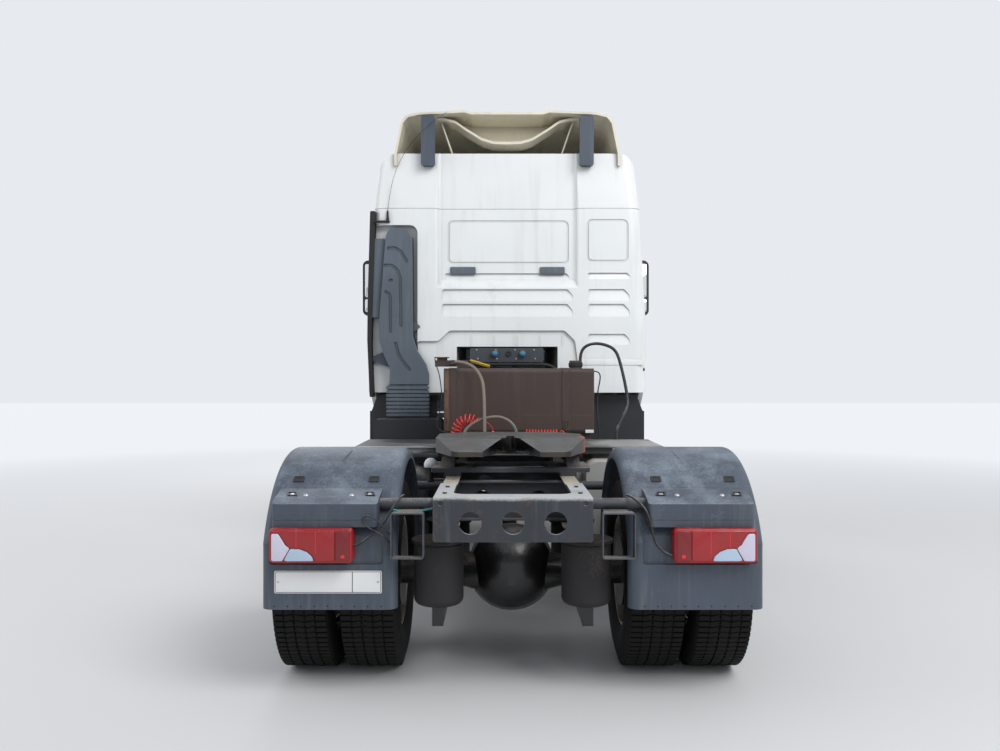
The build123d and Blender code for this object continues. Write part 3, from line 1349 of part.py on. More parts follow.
def louvre(x0, x1, z0, z1):
    """Wedge-shaped pressing with one rounded upper end."""
    face = wall_face((x0 + x1) / 2, z1)
    high = z1 - z0
    wedge = side_prism([(face + 2, z0), (face + 2, z1), (face - LOUVRE_DEPTH, z1), (face, z0)], x0, x1)
    ends = [
        (x0, z0), (x0 + 0.1 * high, z0 + 0.55 * high), (x0 + 0.5 * high, z1), (x1 - 5, z1), (x1, z0),
    ]
    return wedge & rear_prism(ends, face - 2 * LOUVRE_DEPTH, face + 5, 0.22 * high)


def cab_rear_wall(shell):
    """Rear wall with its pressings, the intake channel and the tunnel opening."""
    split = CAB_REAR - REAR_WALL_DEPTH
    region = block(-1400, 1400, split, CAB_REAR + 10, REAR_LOW, SEAM + 20)
    wall = shell & region
    channel = rear_prism(SNORKEL_CHANNEL, CAB_REAR - CHANNEL_DEPTH, CAB_REAR + 20, CHANNEL_CORNER)
    x0 = SNORKEL_CHANNEL[0][0] - WALL
    high = SNORKEL_CHANNEL[2][1] + WALL
    liner_points = [(x0, REAR_LOW - 30), (1260, REAR_LOW - 30), (1260, high), (x0, high)]
    liner = rear_prism(liner_points, CAB_REAR - CHANNEL_DEPTH - WALL, CAB_REAR + 20)
    wall += (liner & cab_form(0) & region) - channel
    wall -= channel
    for x0, x1, z0, z1 in PANS:
        face = wall_face((x0 + x1) / 2, z0)
        groove = rear_prism(rectangle(x0, x1, z0, z1), face - PAN_DEPTH, face + 2, PAN_CORNER)
        middle = rectangle(x0 + PAN_GROOVE, x1 - PAN_GROOVE, z0 + PAN_GROOVE, z1 - PAN_GROOVE)
        groove -= rear_prism(middle, face - PAN_DEPTH - 1, face + 3, PAN_CORNER - PAN_GROOVE)
        wall -= groove
    for row in LOUVRES:
        wall -= louvre(*row)
    wall -= rear_prism(ARCH, CAB_REAR - RECESS, CAB_REAR + 5, ARCH_CORNER)
    half = TUNNEL_HALF - 20
    wall -= block(-half, half, split - 5, CAB_REAR + 5, 1400, TUNNEL_TOP - 50)
    return solids_of(wall)


def cab_floor():
    """Floor pan with the engine tunnel and the front bulkhead."""
    inner = cab_form(WALL)
    low = CAB_FLOOR
    rear = CAB_REAR - WALL
    slab = inner & block(-1400, 1400, from_front(360), CAB_REAR - CHANNEL_DEPTH - WALL, low, low + 30)
    slab -= block(DOOR_CLEAR_X, 1400, from_front(400), from_front(1460), low - 1, low + 31)
    slab -= block(-1400, -DOOR_CLEAR_X, from_front(400), from_front(1460), low - 1, low + 31)
    half = TUNNEL_HALF
    back = CAB_REAR - CHANNEL_DEPTH - WALL
    tunnel = block(-half, half, from_front(330), back, low, TUNNEL_TOP)
    half -= 30
    hollow = block(-half, half, from_front(330) - 1, rear, low - 1, TUNNEL_TOP - 30)
    wall = inner & block(-1400, 1400, from_front(330), from_front(360), low, 1995)
    return solids_of(slab + tunnel + wall - hollow)


ROOF_SHOULDER = 190
ROOF_INNER_SHOULDER = 125
ROOF_OVERRUN = 130
ROOF_WALL = 30
ROOF_FRONT = 300
ROOF_TOP_HALF = 1110
ROOF_TOP_FRONT = 720


def roof_loft(inset, rear):
    """Form of the high roof above the seam with a sharp upper rim."""
    low = plan_section(SEAM, CAB_HALF - 55 - inset, from_front(ROOF_FRONT) + inset, rear,
                       FRONT_CORNER - inset, REAR_CORNER - inset, FRONT_BOW)
    high = plan_section(ROOF_TOP - inset, ROOF_TOP_HALF - inset, from_front(ROOF_TOP_FRONT) + inset,
                        rear - 20, FRONT_CORNER - inset, REAR_CORNER - inset, FRONT_BOW)
    return loft([low, high], ruled=True)


def roof_form(inset, shoulder):
    """Solid of the high roof: rim well rounded at the front and sides, nearly sharp at the rear."""
    rear = CAB_REAR - inset
    crown = roof_loft(inset, rear + ROOF_OVERRUN)
    crown = fillet(crown.edges().group_by(Axis.Z)[-1], shoulder)
    trim = block(-1400, 1400, rear - 2 * REAR_CORNER, rear + 2 * ROOF_OVERRUN, SEAM - 1, ROOF_TOP + 1)
    trim -= roof_loft(inset, rear)
    return crown - trim - rear_recess(inset, SEAM - 1, ROOF_TOP + 1)


SEAM_GROOVE = 5


def high_roof():
    """High roof shell above the seam, with a joint groove round its foot."""
    outer = roof_form(0, ROOF_SHOULDER)
    foot = outer & block(-1400, 1400, FRONT_Y, CAB_REAR + 10, SEAM - 1, SEAM + SEAM_GROOVE)
    outer -= foot - roof_form(SEAM_GROOVE, ROOF_SHOULDER - SEAM_GROOVE)
    return solids_of(outer - roof_form(ROOF_WALL, ROOF_INNER_SHOULDER))


# Roof spoiler: sections across the cab of (distance from front, base half, top half, height)
SPOILER_SECTIONS = [
    (2320, 980, 885, 3880),
    (1500, 960, 850, 3800),
    (850, 800, 700, 3570),
]
SPOILER_WALL = 20
SPOILER_SAG = 17
SPOILER_CORNER = 60
LIP_POINTS = [(640, 3842), (560, 3838), (456, 3812), (360, 3745), (222, 3660), (121, 3630), (0, 3626)]
LIP_WALL = 22
LIP_Y = -650
LIP_DEPTH = 240
WEB_LINE = [(585, 3850), (470, 3520)]
WEB_WALL = 12


def spoiler_outline(base, top, height, inset):
    """Rear view of the spoiler at one section: round upper corners and a lower middle."""
    crest = 0.417 * top
    half = [
        (base - inset, SEAM + 250), (base - inset, 3500), (top + 40 - inset, height - 112),
        (top - 1 - inset, height - 40 - inset), (0.868 * top, height - 19 - inset),
        (crest, height - inset),
        (crest - 55, height - SPOILER_SAG - inset),
    ]
    return half + [(-x, z) for x, z in reversed(half)]


def spoiler_form(inset):
    """Solid wedge of the roof spoiler."""
    faces = []
    for number, (reach, base, top, height) in enumerate(SPOILER_SECTIONS):
        y = from_front(reach + (2 if inset and number == 0 else 0))
        plane = Plane(origin=(0, y, 0), x_dir=(1, 0, 0), z_dir=(0, -1, 0))
        face = outline(spoiler_outline(base, top, height, inset))
        corners = [face.vertices().sort_by_distance((side * (top - 1 - inset), height - 40 - inset, 0))[0]
                   for side in (-1, 1)]
        faces.append(plane * fillet(corners, SPOILER_CORNER - inset))
    return loft(faces, ruled=True)


def spoiler_lining():
    """Inner panel with a drooping rear lip, and two slanted webs down to the roof."""
    line = LIP_POINTS + [(-x, z) for x, z in reversed(LIP_POINTS[:-1])]
    above = line + [(-LIP_POINTS[0][0], 3950), (LIP_POINTS[0][0], 3950)]
    below = [(x, z - LIP_WALL) for x, z in line]
    rim = rear_prism(below + list(reversed(line)), LIP_Y - LIP_DEPTH, LIP_Y)
    sheet = rear_prism(above, LIP_Y - LIP_DEPTH, LIP_Y - LIP_DEPTH + WEB_WALL)
    (x0, z0), (x1, z1) = WEB_LINE
    web = rear_prism([(x0, z0), (x0 + WEB_WALL, z0), (x1 + WEB_WALL, z1), (x1, z1)],
                     LIP_Y - 420, LIP_Y - 70)
    return rim + sheet + web + mirror(web, about=Plane.YZ)


def roof_spoiler():
    """Open-backed spoiler shell standing on the roof, with its lining."""
    hollow = spoiler_form(SPOILER_WALL)
    shell = spoiler_form(0) - hollow + (spoiler_lining() & hollow) - roof_form(0, ROOF_SHOULDER)
    parts = [solid for solid in shell.solids() if solid.bounding_box().max.Z > 3600]
    rear = from_front(SPOILER_SECTIONS[0][0])
    slit = block(-1200, 1200, FRONT_Y, rear + 10, 3000, 3400)
    return solids_of(parts[0] - slit)


STAY_X = 685
STAY_HEAD = 3826
STAY_Z = (3394, 3820)


def spoiler_stays():
    """Two upright stays at the back of the spoiler."""
    stays = []
    y = from_front(SPOILER_SECTIONS[0][0]) + 0.5
    base = rear_prism(rectangle(STAY_X - 60, STAY_X + 60, *STAY_Z), y, y + 48, 14)
    foot = rear_prism(rectangle(STAY_X - 45, STAY_X + 45, STAY_Z[0], STAY_Z[0] + 46), CAB_REAR - 60, y, 8)
    foot -= roof_form(0, ROOF_SHOULDER)
    foot = foot.solids().sort_by(Axis.Y)[-1]
    head = rear_prism(rectangle(STAY_X - 45, STAY_X + 45, STAY_Z[1] - 40, STAY_HEAD), y - 30, y - 1)
    head += block(STAY_X - 45, STAY_X + 45, y - 5, y + 5, STAY_Z[1] - 40, STAY_Z[1] - 5)
    stays.append(base + foot + head)
    return both_sides(stays)


MIRROR_X = (1300, 1550)
MIRROR_Z = (2220, 2820)
MIRROR_Y = (255, 400)


def mirrors():
    """Mirror housings on two arms at the front pillars."""
    x0, x1 = MIRROR_X
    y0, y1 = (from_front(d) for d in MIRROR_Y)
    house = rear_prism(rectangle(x0, x1, *MIRROR_Z), y0, y1, 60)
    house = fillet(house.faces().sort_by(Axis.Y)[0].edges(), 35)
    arms = Part()
    for z in (2285, 2755):
        arms += rod((1130, y0 + 75, z), (x0 + 10, y0 + 75, z), 20)
    arms -= cab_form(0)
    return both_sides([house + arms])


# Cab interior
SEAT_X = 690
WHEEL_X = 690
WHEEL_RADIUS = 205


def dashboard():
    """Dashboard across the cab with the steering column and wheel."""
    form = side_prism([
        (from_front(360.3), 1560), (from_front(560), 1560), (from_front(740), 1800),
        (from_front(700), 1960), (from_front(360.3), 1995),
    ], -1120, 1120)
    half = TUNNEL_HALF + 1
    form -= block(-half, half, from_front(300), from_front(800), 1500, TUNNEL_TOP + 1)
    column_start = (WHEEL_X, from_front(650), 1850)
    column_end = (WHEEL_X, from_front(850), 1985)
    form += rod(column_start, column_end, 35)
    direction = (Vector(*column_end) - Vector(*column_start)).normalized()
    plane = Plane(origin=column_end, z_dir=direction)
    form += plane * Torus(WHEEL_RADIUS, 15)
    bar = plane * Box(2 * WHEEL_RADIUS, 44, 20)
    hub_piece = plane * (Pos(0, 0, 5) * Cylinder(60, 40))
    form += bar
    form += hub_piece
    return solids_of(form)


def seats():
    """Two seats on pedestals, each with cushion, backrest and headrest."""
    z = CAB_FLOOR + 30
    base = block(SEAT_X - 160, SEAT_X + 160, from_front(1130), from_front(1500), z + 0.3, 1750)
    seat = base + side_prism([
        (from_front(1060), 1750), (from_front(1540), 1750), (from_front(1540), 1890),
        (from_front(1060), 1900),
    ], SEAT_X - 250, SEAT_X + 250, 30)
    seat += side_prism([
        (from_front(1500), 1800), (from_front(1600), 1800), (from_front(1730), 2520),
        (from_front(1620), 2520),
    ], SEAT_X - 240, SEAT_X + 240, 35)
    seat += side_prism([
        (from_front(1630), 2500), (from_front(1710), 2500), (from_front(1740), 2700),
        (from_front(1650), 2700),
    ], SEAT_X - 140, SEAT_X + 140, 25)
    seat -= block(0, TUNNEL_HALF + 0.3, FRONT_Y, CAB_REAR, 1400, TUNNEL_TOP + 0.3)
    return both_sides([seat])


def bunk():
    """Mattress across the back of the cab on two lockers."""
    front = from_front(1780)
    rear = CAB_REAR - CHANNEL_DEPTH - WALL - 10
    mattress = block(-1120, 1120, front, rear, TUNNEL_TOP + 0.3, TUNNEL_TOP + 120)
    mattress = fillet(mattress.edges(), 25)
    lockers = block(TUNNEL_HALF + 0.3, 1120, front, rear, CAB_FLOOR + 30.3, TUNNEL_TOP)
    return solids_of(mattress) + both_sides([lockers])


# Intake snorkel on the back of the cab, outline of (x, z)
SNORKEL = [
    (1056, 2761), (1038, 2820), (1004, 2855), (867, 2846), (823, 2777), (815, 1918), (781, 1797),
    (703, 1677), (678, 1591), (678, 1497), (1022, 1497), (1013, 1626),
    (1073, 1763), (1112, 1900), (1108, 2073),
]
SNORKEL_DEPTH = 130
SNORKEL_CORNER = 12
SNORKEL_SOFT = 9

# Sunk grooves of the duct's rear face, each a run of (x, z)
DUCT_GROOVES = [
    [(1026, 2680), (975, 2682), (925, 2655), (880, 2585), (872, 2570)],
    [(1055, 2532), (1000, 2530), (950, 2490), (925, 2420), (919, 2011)],
    [(1050, 2301), (1020, 2280), (1011, 2240), (1011, 1963)],
    [(966, 1856), (940, 1760), (895, 1690), (848, 1631)],
    [(1012, 2402), (1004, 2402)],
]
GROOVE_WIDTH = 29
GROOVE_DEPTH = 10
COLUMN_X = (1064, 1180)
COLUMN_Z = (2083, 2770)


def intake_snorkel():
    """Grooved air duct down the back of the cab, with its side column, ending in a bellows."""
    front = CAB_REAR - CHANNEL_DEPTH + PIN_CLEARANCE
    back = front + SNORKEL_DEPTH
    duct = rear_prism(SNORKEL, front, back, SNORKEL_CORNER)
    duct = fillet(duct.faces().sort_by(Axis.Y)[-1].outer_wire().edges(), SNORKEL_SOFT)
    face = Plane(origin=(0, back, 0), x_dir=(1, 0, 0), z_dir=(0, -1, 0))
    for groove in DUCT_GROOVES:
        duct -= extrude(face * slot_along(groove, GROOVE_WIDTH), GROOVE_DEPTH)
    duct -= cab_low_corner()
    column = rear_prism(rectangle(*COLUMN_X, *COLUMN_Z), front, front + 84, 14)
    ear = rear_prism([(830, 2060), (762, 2012), (758, 1996), (830, 1950)], CAB_REAR + PIN_CLEARANCE,
                     CAB_REAR + 8)
    strut = rear_prism([(1182, 1744), (1091, 1780), (1000, 1660), (1000, 1637), (1180, 1706)],
                       front + 30, front + 38)
    bellows = Part()
    x0, x1 = 678, 1047
    pitch = (1489 - 1220) / 8
    for number in range(8):
        z = 1220 + pitch * number
        bellows += block(x0 + 12, x1 - 12, front + 25, front + SNORKEL_DEPTH - 10, z, z + pitch)
        bellows += block(x0, x1, front + 12, front + SNORKEL_DEPTH, z + 6, z + pitch - 6)
    bellows += block(x0 + 12, x1 - 12, front + 25, front + SNORKEL_DEPTH - 10, 1489, 1497)
    return solids_of(duct + column + ear + strut + (bellows - cab_low_corner()))


def cab_low_corner():
    """The wall strip beside the channel that the duct's lower bend passes in front of."""
    return block(600, 781, CAB_REAR - 200, CAB_REAR + 1, 1400, 1900)


# Hoses and air coils behind the cab: the corners of each route as (x, y behind the tank, z)
HOSE_RADIUS = 12
DECK_HOSE_RADIUS = 11
COIL_RADIUS = 43
TANK_HOSE = [
    (-572, -130, 1698.3), (-572, -130, 1750), (-602, -128.5, 1806), (-668, -126.5, 1836),
    (-760, -122.5, 1828), (-845, -117.5, 1790), (-885, -107.5, 1690), (-935, -57.5, 1430),
    (-930, -22.5, 1320), (-868, 24.5, 1235), (-828, 62.5, 1140), (-828, 62.5, 1036.3),
]
SUPPLY_HOSE = [
    (411.7, 62.5, 1686), (365, 62.5, 1686), (302, 74.5, 1668), (245, 112.5, 1632), (199, 182.5, 1556),
    (182, 262.5, 1470), (174, 434.5, 1222), (174, 434.5, 1100.3),
]
DECK_HOSE = [
    (336, 356.5, 1100.3), (336, 356.5, 1140), (310, 356.5, 1190), (262, 356.5, 1230),
    (192, 356.5, 1262), (118, 356.5, 1278), (45, 356.5, 1275), (-22, 356.5, 1236),
    (-62, 356.5, 1172), (-62, 356.5, 1100.3),
]
LEFT_COIL = [
    (390, 297.5, 1100.3), (390, 297.5, 1186), (352, 297.5, 1240), (298, 297.5, 1262), (240, 297.5, 1248),
]
RIGHT_COIL = [(-130, 312.5, 1143.3), (-208, 329.5, 1143.3), (-292, 329.5, 1143.3), (-372, 312.5, 1143.3)]


def hose_along(points, radius, name):
    """Round hose along its route, each arc as large as the runs beside it allow."""
    placed = [(x, TANK_REAR + y, z) for x, y, z in points]
    radii = bend_radii(placed)
    print(name, "bend radii", [round(value) for value in radii], "tightest in diameters",
          round(min(radii) / radius / 2, 1))
    return bent_tube(placed, radius, radii)


def tank_hose():
    """Hose from the rear tank's filler down to the side tank."""
    return [hose_along(TANK_HOSE, HOSE_RADIUS, "tank hose")]


def service_hoses():
    """Hose from the arm on the tank to the deck, and a hose that arches over the deck."""
    return [hose_along(SUPPLY_HOSE, HOSE_RADIUS, "supply hose"),
            hose_along(DECK_HOSE, DECK_HOSE_RADIUS, "deck hose")]


def air_coils():
    """Outer forms of the two coiled air hoses that lie on the deck."""
    return [hose_along(LEFT_COIL, COIL_RADIUS, "left air coil"),
            hose_along(RIGHT_COIL, COIL_RADIUS, "right air coil")]


def save(name, shapes):
    """Write one node's solids to its STEP file."""
    solids = solids_of(shapes)
    export_step(Compound(children=solids), os.path.join("parts", name + ".step"))
    volume = sum(solid.volume for solid in solids)
    print(f"{name}: {len(solids)} solids, {volume / 1e6:.1f} litres")


def main():
    os.makedirs("parts", exist_ok=True)
    save("frame_rails", frame_rails())
    save("crossmembers", crossmembers())
    save("end_crossmember", end_crossmember())
    save("fifth_wheel_base", fifth_wheel_base())
    save("fifth_wheel", fifth_wheel())
    save("rear_axle", rear_axle())
    save("air_springs", air_springs())
    save("propshaft", propshaft())
    save("engine", engine())
    save("front_axle", front_axle())
    save("leaf_springs", leaf_springs())
    left_knuckle = knuckle()
    save("knuckle_left", left_knuckle)
    save("knuckle_right", mirror(left_knuckle, about=Plane.YZ))
    save("track_rod", track_rod())
    front_tyre = tyre(FRONT_WHEEL_X, FRONT_AXLE_Y)
    twin_tyres = [tyre(REAR_WHEEL_X + side * DUAL_OFFSET, REAR_AXLE_Y) for side in (-1, 1)]
    wheels = {
        "front": (front_wheel(), [front_tyre]),
        "rear": (rear_wheel(), twin_tyres),
    }
    for place, (wheel, tyres) in wheels.items():
        save(f"rim_{place}_left", wheel)
        save(f"rim_{place}_right", mirror(wheel, about=Plane.YZ))
        save(f"tyre_{place}_left", tyres)
        save(f"tyre_{place}_right", [mirror(item, about=Plane.YZ) for item in tyres])
    save("front_bumper", front_bumper())
    save("headlamps", headlamps())
    save("entry_steps", entry_steps())
    save("front_mudguards", front_mudguards())
    save("side_fuel_tank", side_fuel_tank())
    save("battery_box", battery_box())
    save("air_tanks", air_tanks())
    save("rear_tank", rear_tank())
    save("tank_cradle", tank_cradle())
    save("deck_plate", deck_plate())
    save("mudguard_arches", mudguard_arches())
    save("rear_mudguards", rear_mudguards())
    save("mudguard_brackets", mudguard_brackets())
    save("tail_lamps", tail_lamps())
    save("cab_mounts", cab_mounts())
    save("coupling_panel", coupling_panel())
    save("air_filter_box", air_filter_box())
    save("tank_hose", tank_hose())
    save("service_hoses", service_hoses())
    save("air_coils", air_coils())
    shell = cab_shell()
    save("cab_front_frame", cab_front_frame(shell))
    save("cab_sides", cab_sides(shell))
    save("cab_rear_wall", cab_rear_wall(shell))
    save("cab_floor", cab_floor())
    save("high_roof", high_roof())
    save("roof_spoiler", roof_spoiler())
    save("spoiler_stays", spoiler_stays())
    save("windscreen", windscreen())
    save("mirrors", mirrors())
    save("dashboard", dashboard())
    save("seats", seats())
    save("bunk", bunk())
    save("intake_snorkel", intake_snorkel())
    leaf, glass = door_parts()
    save("door_left", leaf)
    save("window_left", glass)
    save("door_right", mirror(leaf, about=Plane.YZ))
    save("window_right", mirror(glass, about=Plane.YZ))
    save("front_flap", front_flap())


main()
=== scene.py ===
# %% [markdown]
# A cab-over tractor unit seen from behind. The metal frame of the vehicle arrives as a finished CAD
# model, and this lesson dresses it: camera and light first, then the hoses, then the finishes, and
# last the pieces that carry the fine detail, from tyre tread to lamp lenses.

# %% Load the frame
import bpy
import bmesh
import math
import random
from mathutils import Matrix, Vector


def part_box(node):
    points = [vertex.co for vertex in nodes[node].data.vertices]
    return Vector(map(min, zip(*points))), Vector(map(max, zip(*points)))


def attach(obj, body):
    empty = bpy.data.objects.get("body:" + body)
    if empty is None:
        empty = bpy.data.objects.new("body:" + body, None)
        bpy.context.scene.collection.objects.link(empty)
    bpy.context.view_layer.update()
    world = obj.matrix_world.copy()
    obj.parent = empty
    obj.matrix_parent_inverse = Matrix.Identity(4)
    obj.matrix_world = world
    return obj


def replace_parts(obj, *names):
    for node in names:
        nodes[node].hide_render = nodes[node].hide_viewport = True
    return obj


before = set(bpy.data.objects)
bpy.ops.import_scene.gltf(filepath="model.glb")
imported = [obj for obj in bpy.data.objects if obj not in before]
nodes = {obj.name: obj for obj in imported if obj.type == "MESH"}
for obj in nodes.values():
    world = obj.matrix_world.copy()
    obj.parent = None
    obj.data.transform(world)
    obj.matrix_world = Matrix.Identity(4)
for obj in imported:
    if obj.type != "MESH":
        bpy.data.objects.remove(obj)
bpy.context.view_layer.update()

# %% [markdown]
# The picture was taken standing square behind the vehicle, a little to one side of its centre line,
# at chest height. A level camera with a 32 mm lens gives the same lines: everything level with the
# lens stays on one row, whatever its distance. The slight shift stands for the crop.

# %% Camera
scene = bpy.context.scene
EYE = Vector((0.063, 7.1175, 1.60))
camera = bpy.data.objects.new("camera", bpy.data.cameras.new("camera"))
camera.location = EYE
camera.rotation_euler = (math.radians(90), 0, math.radians(180))
camera.data.lens = 31.9
camera.data.sensor_width = 36
camera.data.shift_y = -0.0025
scene.collection.objects.link(camera)
scene.camera = camera
scene.view_settings.view_transform = "Standard"
print("camera at", tuple(EYE))

# %% [markdown]
# Shader trees are easier to read when one call makes a node, sets it and wires it. A socket given as
# an input value becomes a wire, and anything else becomes the socket's own number or colour.


# %% Helpers for shader trees
def node(tree, kind, inputs=None, family="ShaderNode", **settings):
    made = tree.nodes.new(family + kind)
    for name, value in settings.items():
        setattr(made, name, value)
    for name, value in (inputs or {}).items():
        if isinstance(value, bpy.types.NodeSocket):
            tree.links.new(value, made.inputs[name])
        else:
            made.inputs[name].default_value = value
    return made


def rgb(red, green, blue):
    return (red, green, blue, 1)


def mix_colours(tree, mask, below, above):
    return node(tree, "Mix", {0: mask, 6: below, 7: above}, data_type="RGBA").outputs[2]


def calculate(tree, operation, first, second, clamp=False):
    made = node(tree, "Math", {0: first, 1: second}, operation=operation, use_clamp=clamp)
    return made.outputs[0]


def spread(tree, value, low, high, to_low=0.0, to_high=1.0):
    made = node(tree, "MapRange", {"Value": value, "From Min": low, "From Max": high,
                                   "To Min": to_low, "To Max": to_high})
    return made.outputs["Result"]


def object_place(tree, scale=(1, 1, 1)):
    coords = node(tree, "TexCoord").outputs["Object"]
    return node(tree, "Mapping", {"Vector": coords, "Scale": scale}).outputs["Vector"]


def send(tree, sockets, **values):
    for name, value in values.items():
        tree.links.new(value, sockets[name])


# %% [markdown]
# A working vehicle is never one flat colour. Road dust settles on what faces up and gathers in
# patches, edges lose their paint, rain draws streaks down upright walls, dirt stays in corners and
# steel rusts; the corner layer also paints shade into corners and crevices. Each effect is one group,
# built once, with its colours and strengths as named inputs.


# %% Making a shader group
def shader_group(title, colours, numbers, gives):
    tree = bpy.data.node_groups.new(title, "ShaderNodeTree")
    rows = [(name, "INPUT", "Color") for name in colours.split()]
    rows += [(name, "INPUT", "Float") for name in numbers.split()]
    rows += [(name, "OUTPUT", "Color" if name == "Color" else "Float") for name in gives.split()]
    for name, in_out, kind in rows:
        tree.interface.new_socket(name, in_out=in_out, socket_type="NodeSocket" + kind)
    return tree, tree.nodes.new("NodeGroupInput").outputs, tree.nodes.new("NodeGroupOutput").inputs


def noise(tree, place, scale, detail, roughness=0.5):
    made = node(tree, "TexNoise", {"Vector": place, "Scale": scale, "Detail": detail, "Roughness": roughness})
    return made.outputs["Fac"]


# %% Dust that settles, and painted sky sheen on tops
dust_and_sheen_tree, given, out = shader_group("road dust and sky sheen", "Color Dust", "Roughness Amount Settle Scale",
                                     "Color Roughness")
place = object_place(dust_and_sheen_tree)
patches = noise(dust_and_sheen_tree, place, given["Scale"], 6.0, 0.65)
fine = noise(dust_and_sheen_tree, place, 90.0, 3.0)
facing = node(dust_and_sheen_tree, "NewGeometry").outputs["Normal"]
up = spread(dust_and_sheen_tree, node(dust_and_sheen_tree, "SeparateXYZ", {0: facing}).outputs["Z"], 0.1, 1.0)
lie = calculate(dust_and_sheen_tree, "MULTIPLY", up, given["Settle"])
uneven = node(dust_and_sheen_tree, "Math", {0: fine, 1: 0.35, 2: patches}, operation="MULTIPLY_ADD").outputs[0]
wanted = calculate(dust_and_sheen_tree, "ADD", given["Amount"], lie)
mask = calculate(dust_and_sheen_tree, "SUBTRACT", calculate(dust_and_sheen_tree, "ADD", uneven, wanted), 1.0, True)
mask = spread(dust_and_sheen_tree, mask, 0.0, 0.42)
send(dust_and_sheen_tree, out, Color=mix_colours(dust_and_sheen_tree, mask, given["Color"], given["Dust"]),
     Roughness=spread(dust_and_sheen_tree, mask, 0.0, 1.0, given["Roughness"], 0.92))
print("group", dust_and_sheen_tree.name)

# %% Worn edges
edge_tree, given, out = shader_group("worn edges", "Color Worn", "Amount Radius", "Color")
softened = node(edge_tree, "Bevel", {"Radius": given["Radius"]}, samples=4).outputs["Normal"]
flat = node(edge_tree, "NewGeometry").outputs["Normal"]
likeness = node(edge_tree, "VectorMath", {0: softened, 1: flat}, operation="DOT_PRODUCT").outputs["Value"]
edge = spread(edge_tree, likeness, 0.99, 0.86)
broken = spread(edge_tree, noise(edge_tree, object_place(edge_tree), 26.0, 5.0), 0.38, 0.62)
mask = calculate(edge_tree, "MULTIPLY", calculate(edge_tree, "MULTIPLY", edge, broken), given["Amount"], True)
send(edge_tree, out, Color=mix_colours(edge_tree, mask, given["Color"], given["Worn"]))
print("group", edge_tree.name)

# %% Streaks that rain draws
streak_tree, given, out = shader_group("rain streaks", "Color Streak", "Amount Width", "Color")
runs = noise(streak_tree, object_place(streak_tree, (1.0, 1.0, 0.07)), given["Width"], 4.0, 0.6)
broad = noise(streak_tree, object_place(streak_tree), 2.2, 2.0)
runs = calculate(streak_tree, "MULTIPLY", spread(streak_tree, runs, 0.5, 0.72),
                 spread(streak_tree, broad, 0.35, 0.6))
mask = calculate(streak_tree, "MULTIPLY", runs, given["Amount"], True)
send(streak_tree, out, Color=mix_colours(streak_tree, mask, given["Color"], given["Streak"]))
print("group", streak_tree.name)

# %% Painted shade and dirt in corners
corner_dirt_shade_tree, given, out = shader_group("corner dirt and shade", "Color Dirt", "Amount Reach", "Color")
# ambient occlusion finds enclosed corners and crevices, so this darkening is painted shade as well as dirt
open_sky = node(corner_dirt_shade_tree, "AmbientOcclusion", {"Distance": given["Reach"]}, samples=4).outputs["AO"]
mask = calculate(corner_dirt_shade_tree, "MULTIPLY", spread(corner_dirt_shade_tree, open_sky, 0.95, 0.35), given["Amount"], True)
send(corner_dirt_shade_tree, out, Color=mix_colours(corner_dirt_shade_tree, mask, given["Color"], given["Dirt"]))
print("group", corner_dirt_shade_tree.name)

# %% Rust
PALE_RUST = rgb(0.16, 0.085, 0.05)
DEEP_RUST = rgb(0.060, 0.026, 0.016)
rust_tree, given, out = shader_group("rust", "Color", "Roughness Amount Scale", "Color Roughness Height")
place = object_place(rust_tree)
blotches = noise(rust_tree, place, given["Scale"], 8.0, 0.7)
mask = calculate(rust_tree, "SUBTRACT", calculate(rust_tree, "ADD", blotches, given["Amount"]), 0.72, True)
mask = spread(rust_tree, mask, 0.0, 0.14)
pits = noise(rust_tree, place, 60.0, 6.0)
rusty = mix_colours(rust_tree, spread(rust_tree, pits, 0.35, 0.65), DEEP_RUST, PALE_RUST)
send(rust_tree, out, Color=mix_colours(rust_tree, mask, given["Color"], rusty),
     Roughness=spread(rust_tree, mask, 0.0, 1.0, given["Roughness"], 0.9),
     Height=calculate(rust_tree, "MULTIPLY", mask, pits))
print("group", rust_tree.name)

# %% Weave
weave_tree, given, out = shader_group("weave", "Color Thread", "Scale", "Color Height")
threads = [node(weave_tree, "TexWave", {"Vector": object_place(weave_tree), "Scale": given["Scale"],
                                        "Distortion": 0.6, "Detail": 1.0},
                wave_type="BANDS", bands_direction=direction).outputs["Fac"] for direction in ("X", "Z")]
crossing = calculate(weave_tree, "MAXIMUM", *threads)
shown = spread(weave_tree, crossing, 0.4, 1.0)
send(weave_tree, out, Color=mix_colours(weave_tree, shown, given["Color"], given["Thread"]), Height=crossing)
print("group", weave_tree.name)

# %% [markdown]
# Most finishes here are the same stack: a base colour with a slow drift in it, then rust, weave, worn
# edges, dirt and painted shade in corners, streaks and dust on top. One function builds that stack
# from a list of its layers, and leaves out what a finish doesn't need. Numbers that don't vary go
# straight on the shader's own sockets.

# %% The layers of the stack
LAYERS = [  # group, inputs that its setting fills
    (rust_tree, ("Amount", "Scale")), (weave_tree, ("Scale", "Thread")),
    (edge_tree, ("Worn", "Amount", "Radius")), (corner_dirt_shade_tree, ("Dirt", "Amount", "Reach")),
    (streak_tree, ("Streak", "Amount", "Width")), (dust_and_sheen_tree, ("Dust", "Amount", "Settle", "Scale")),
]
RELIEF = 0.002


def bare_material(name, **sockets):
    material = bpy.data.materials.new(name)
    material.use_nodes = True
    tree = material.node_tree
    tree.nodes.clear()
    shader = node(tree, "BsdfPrincipled", {key.replace("_", " "): value for key, value in sockets.items()})
    tree.links.new(shader.outputs["BSDF"], node(tree, "OutputMaterial").inputs["Surface"])
    return material, tree, shader


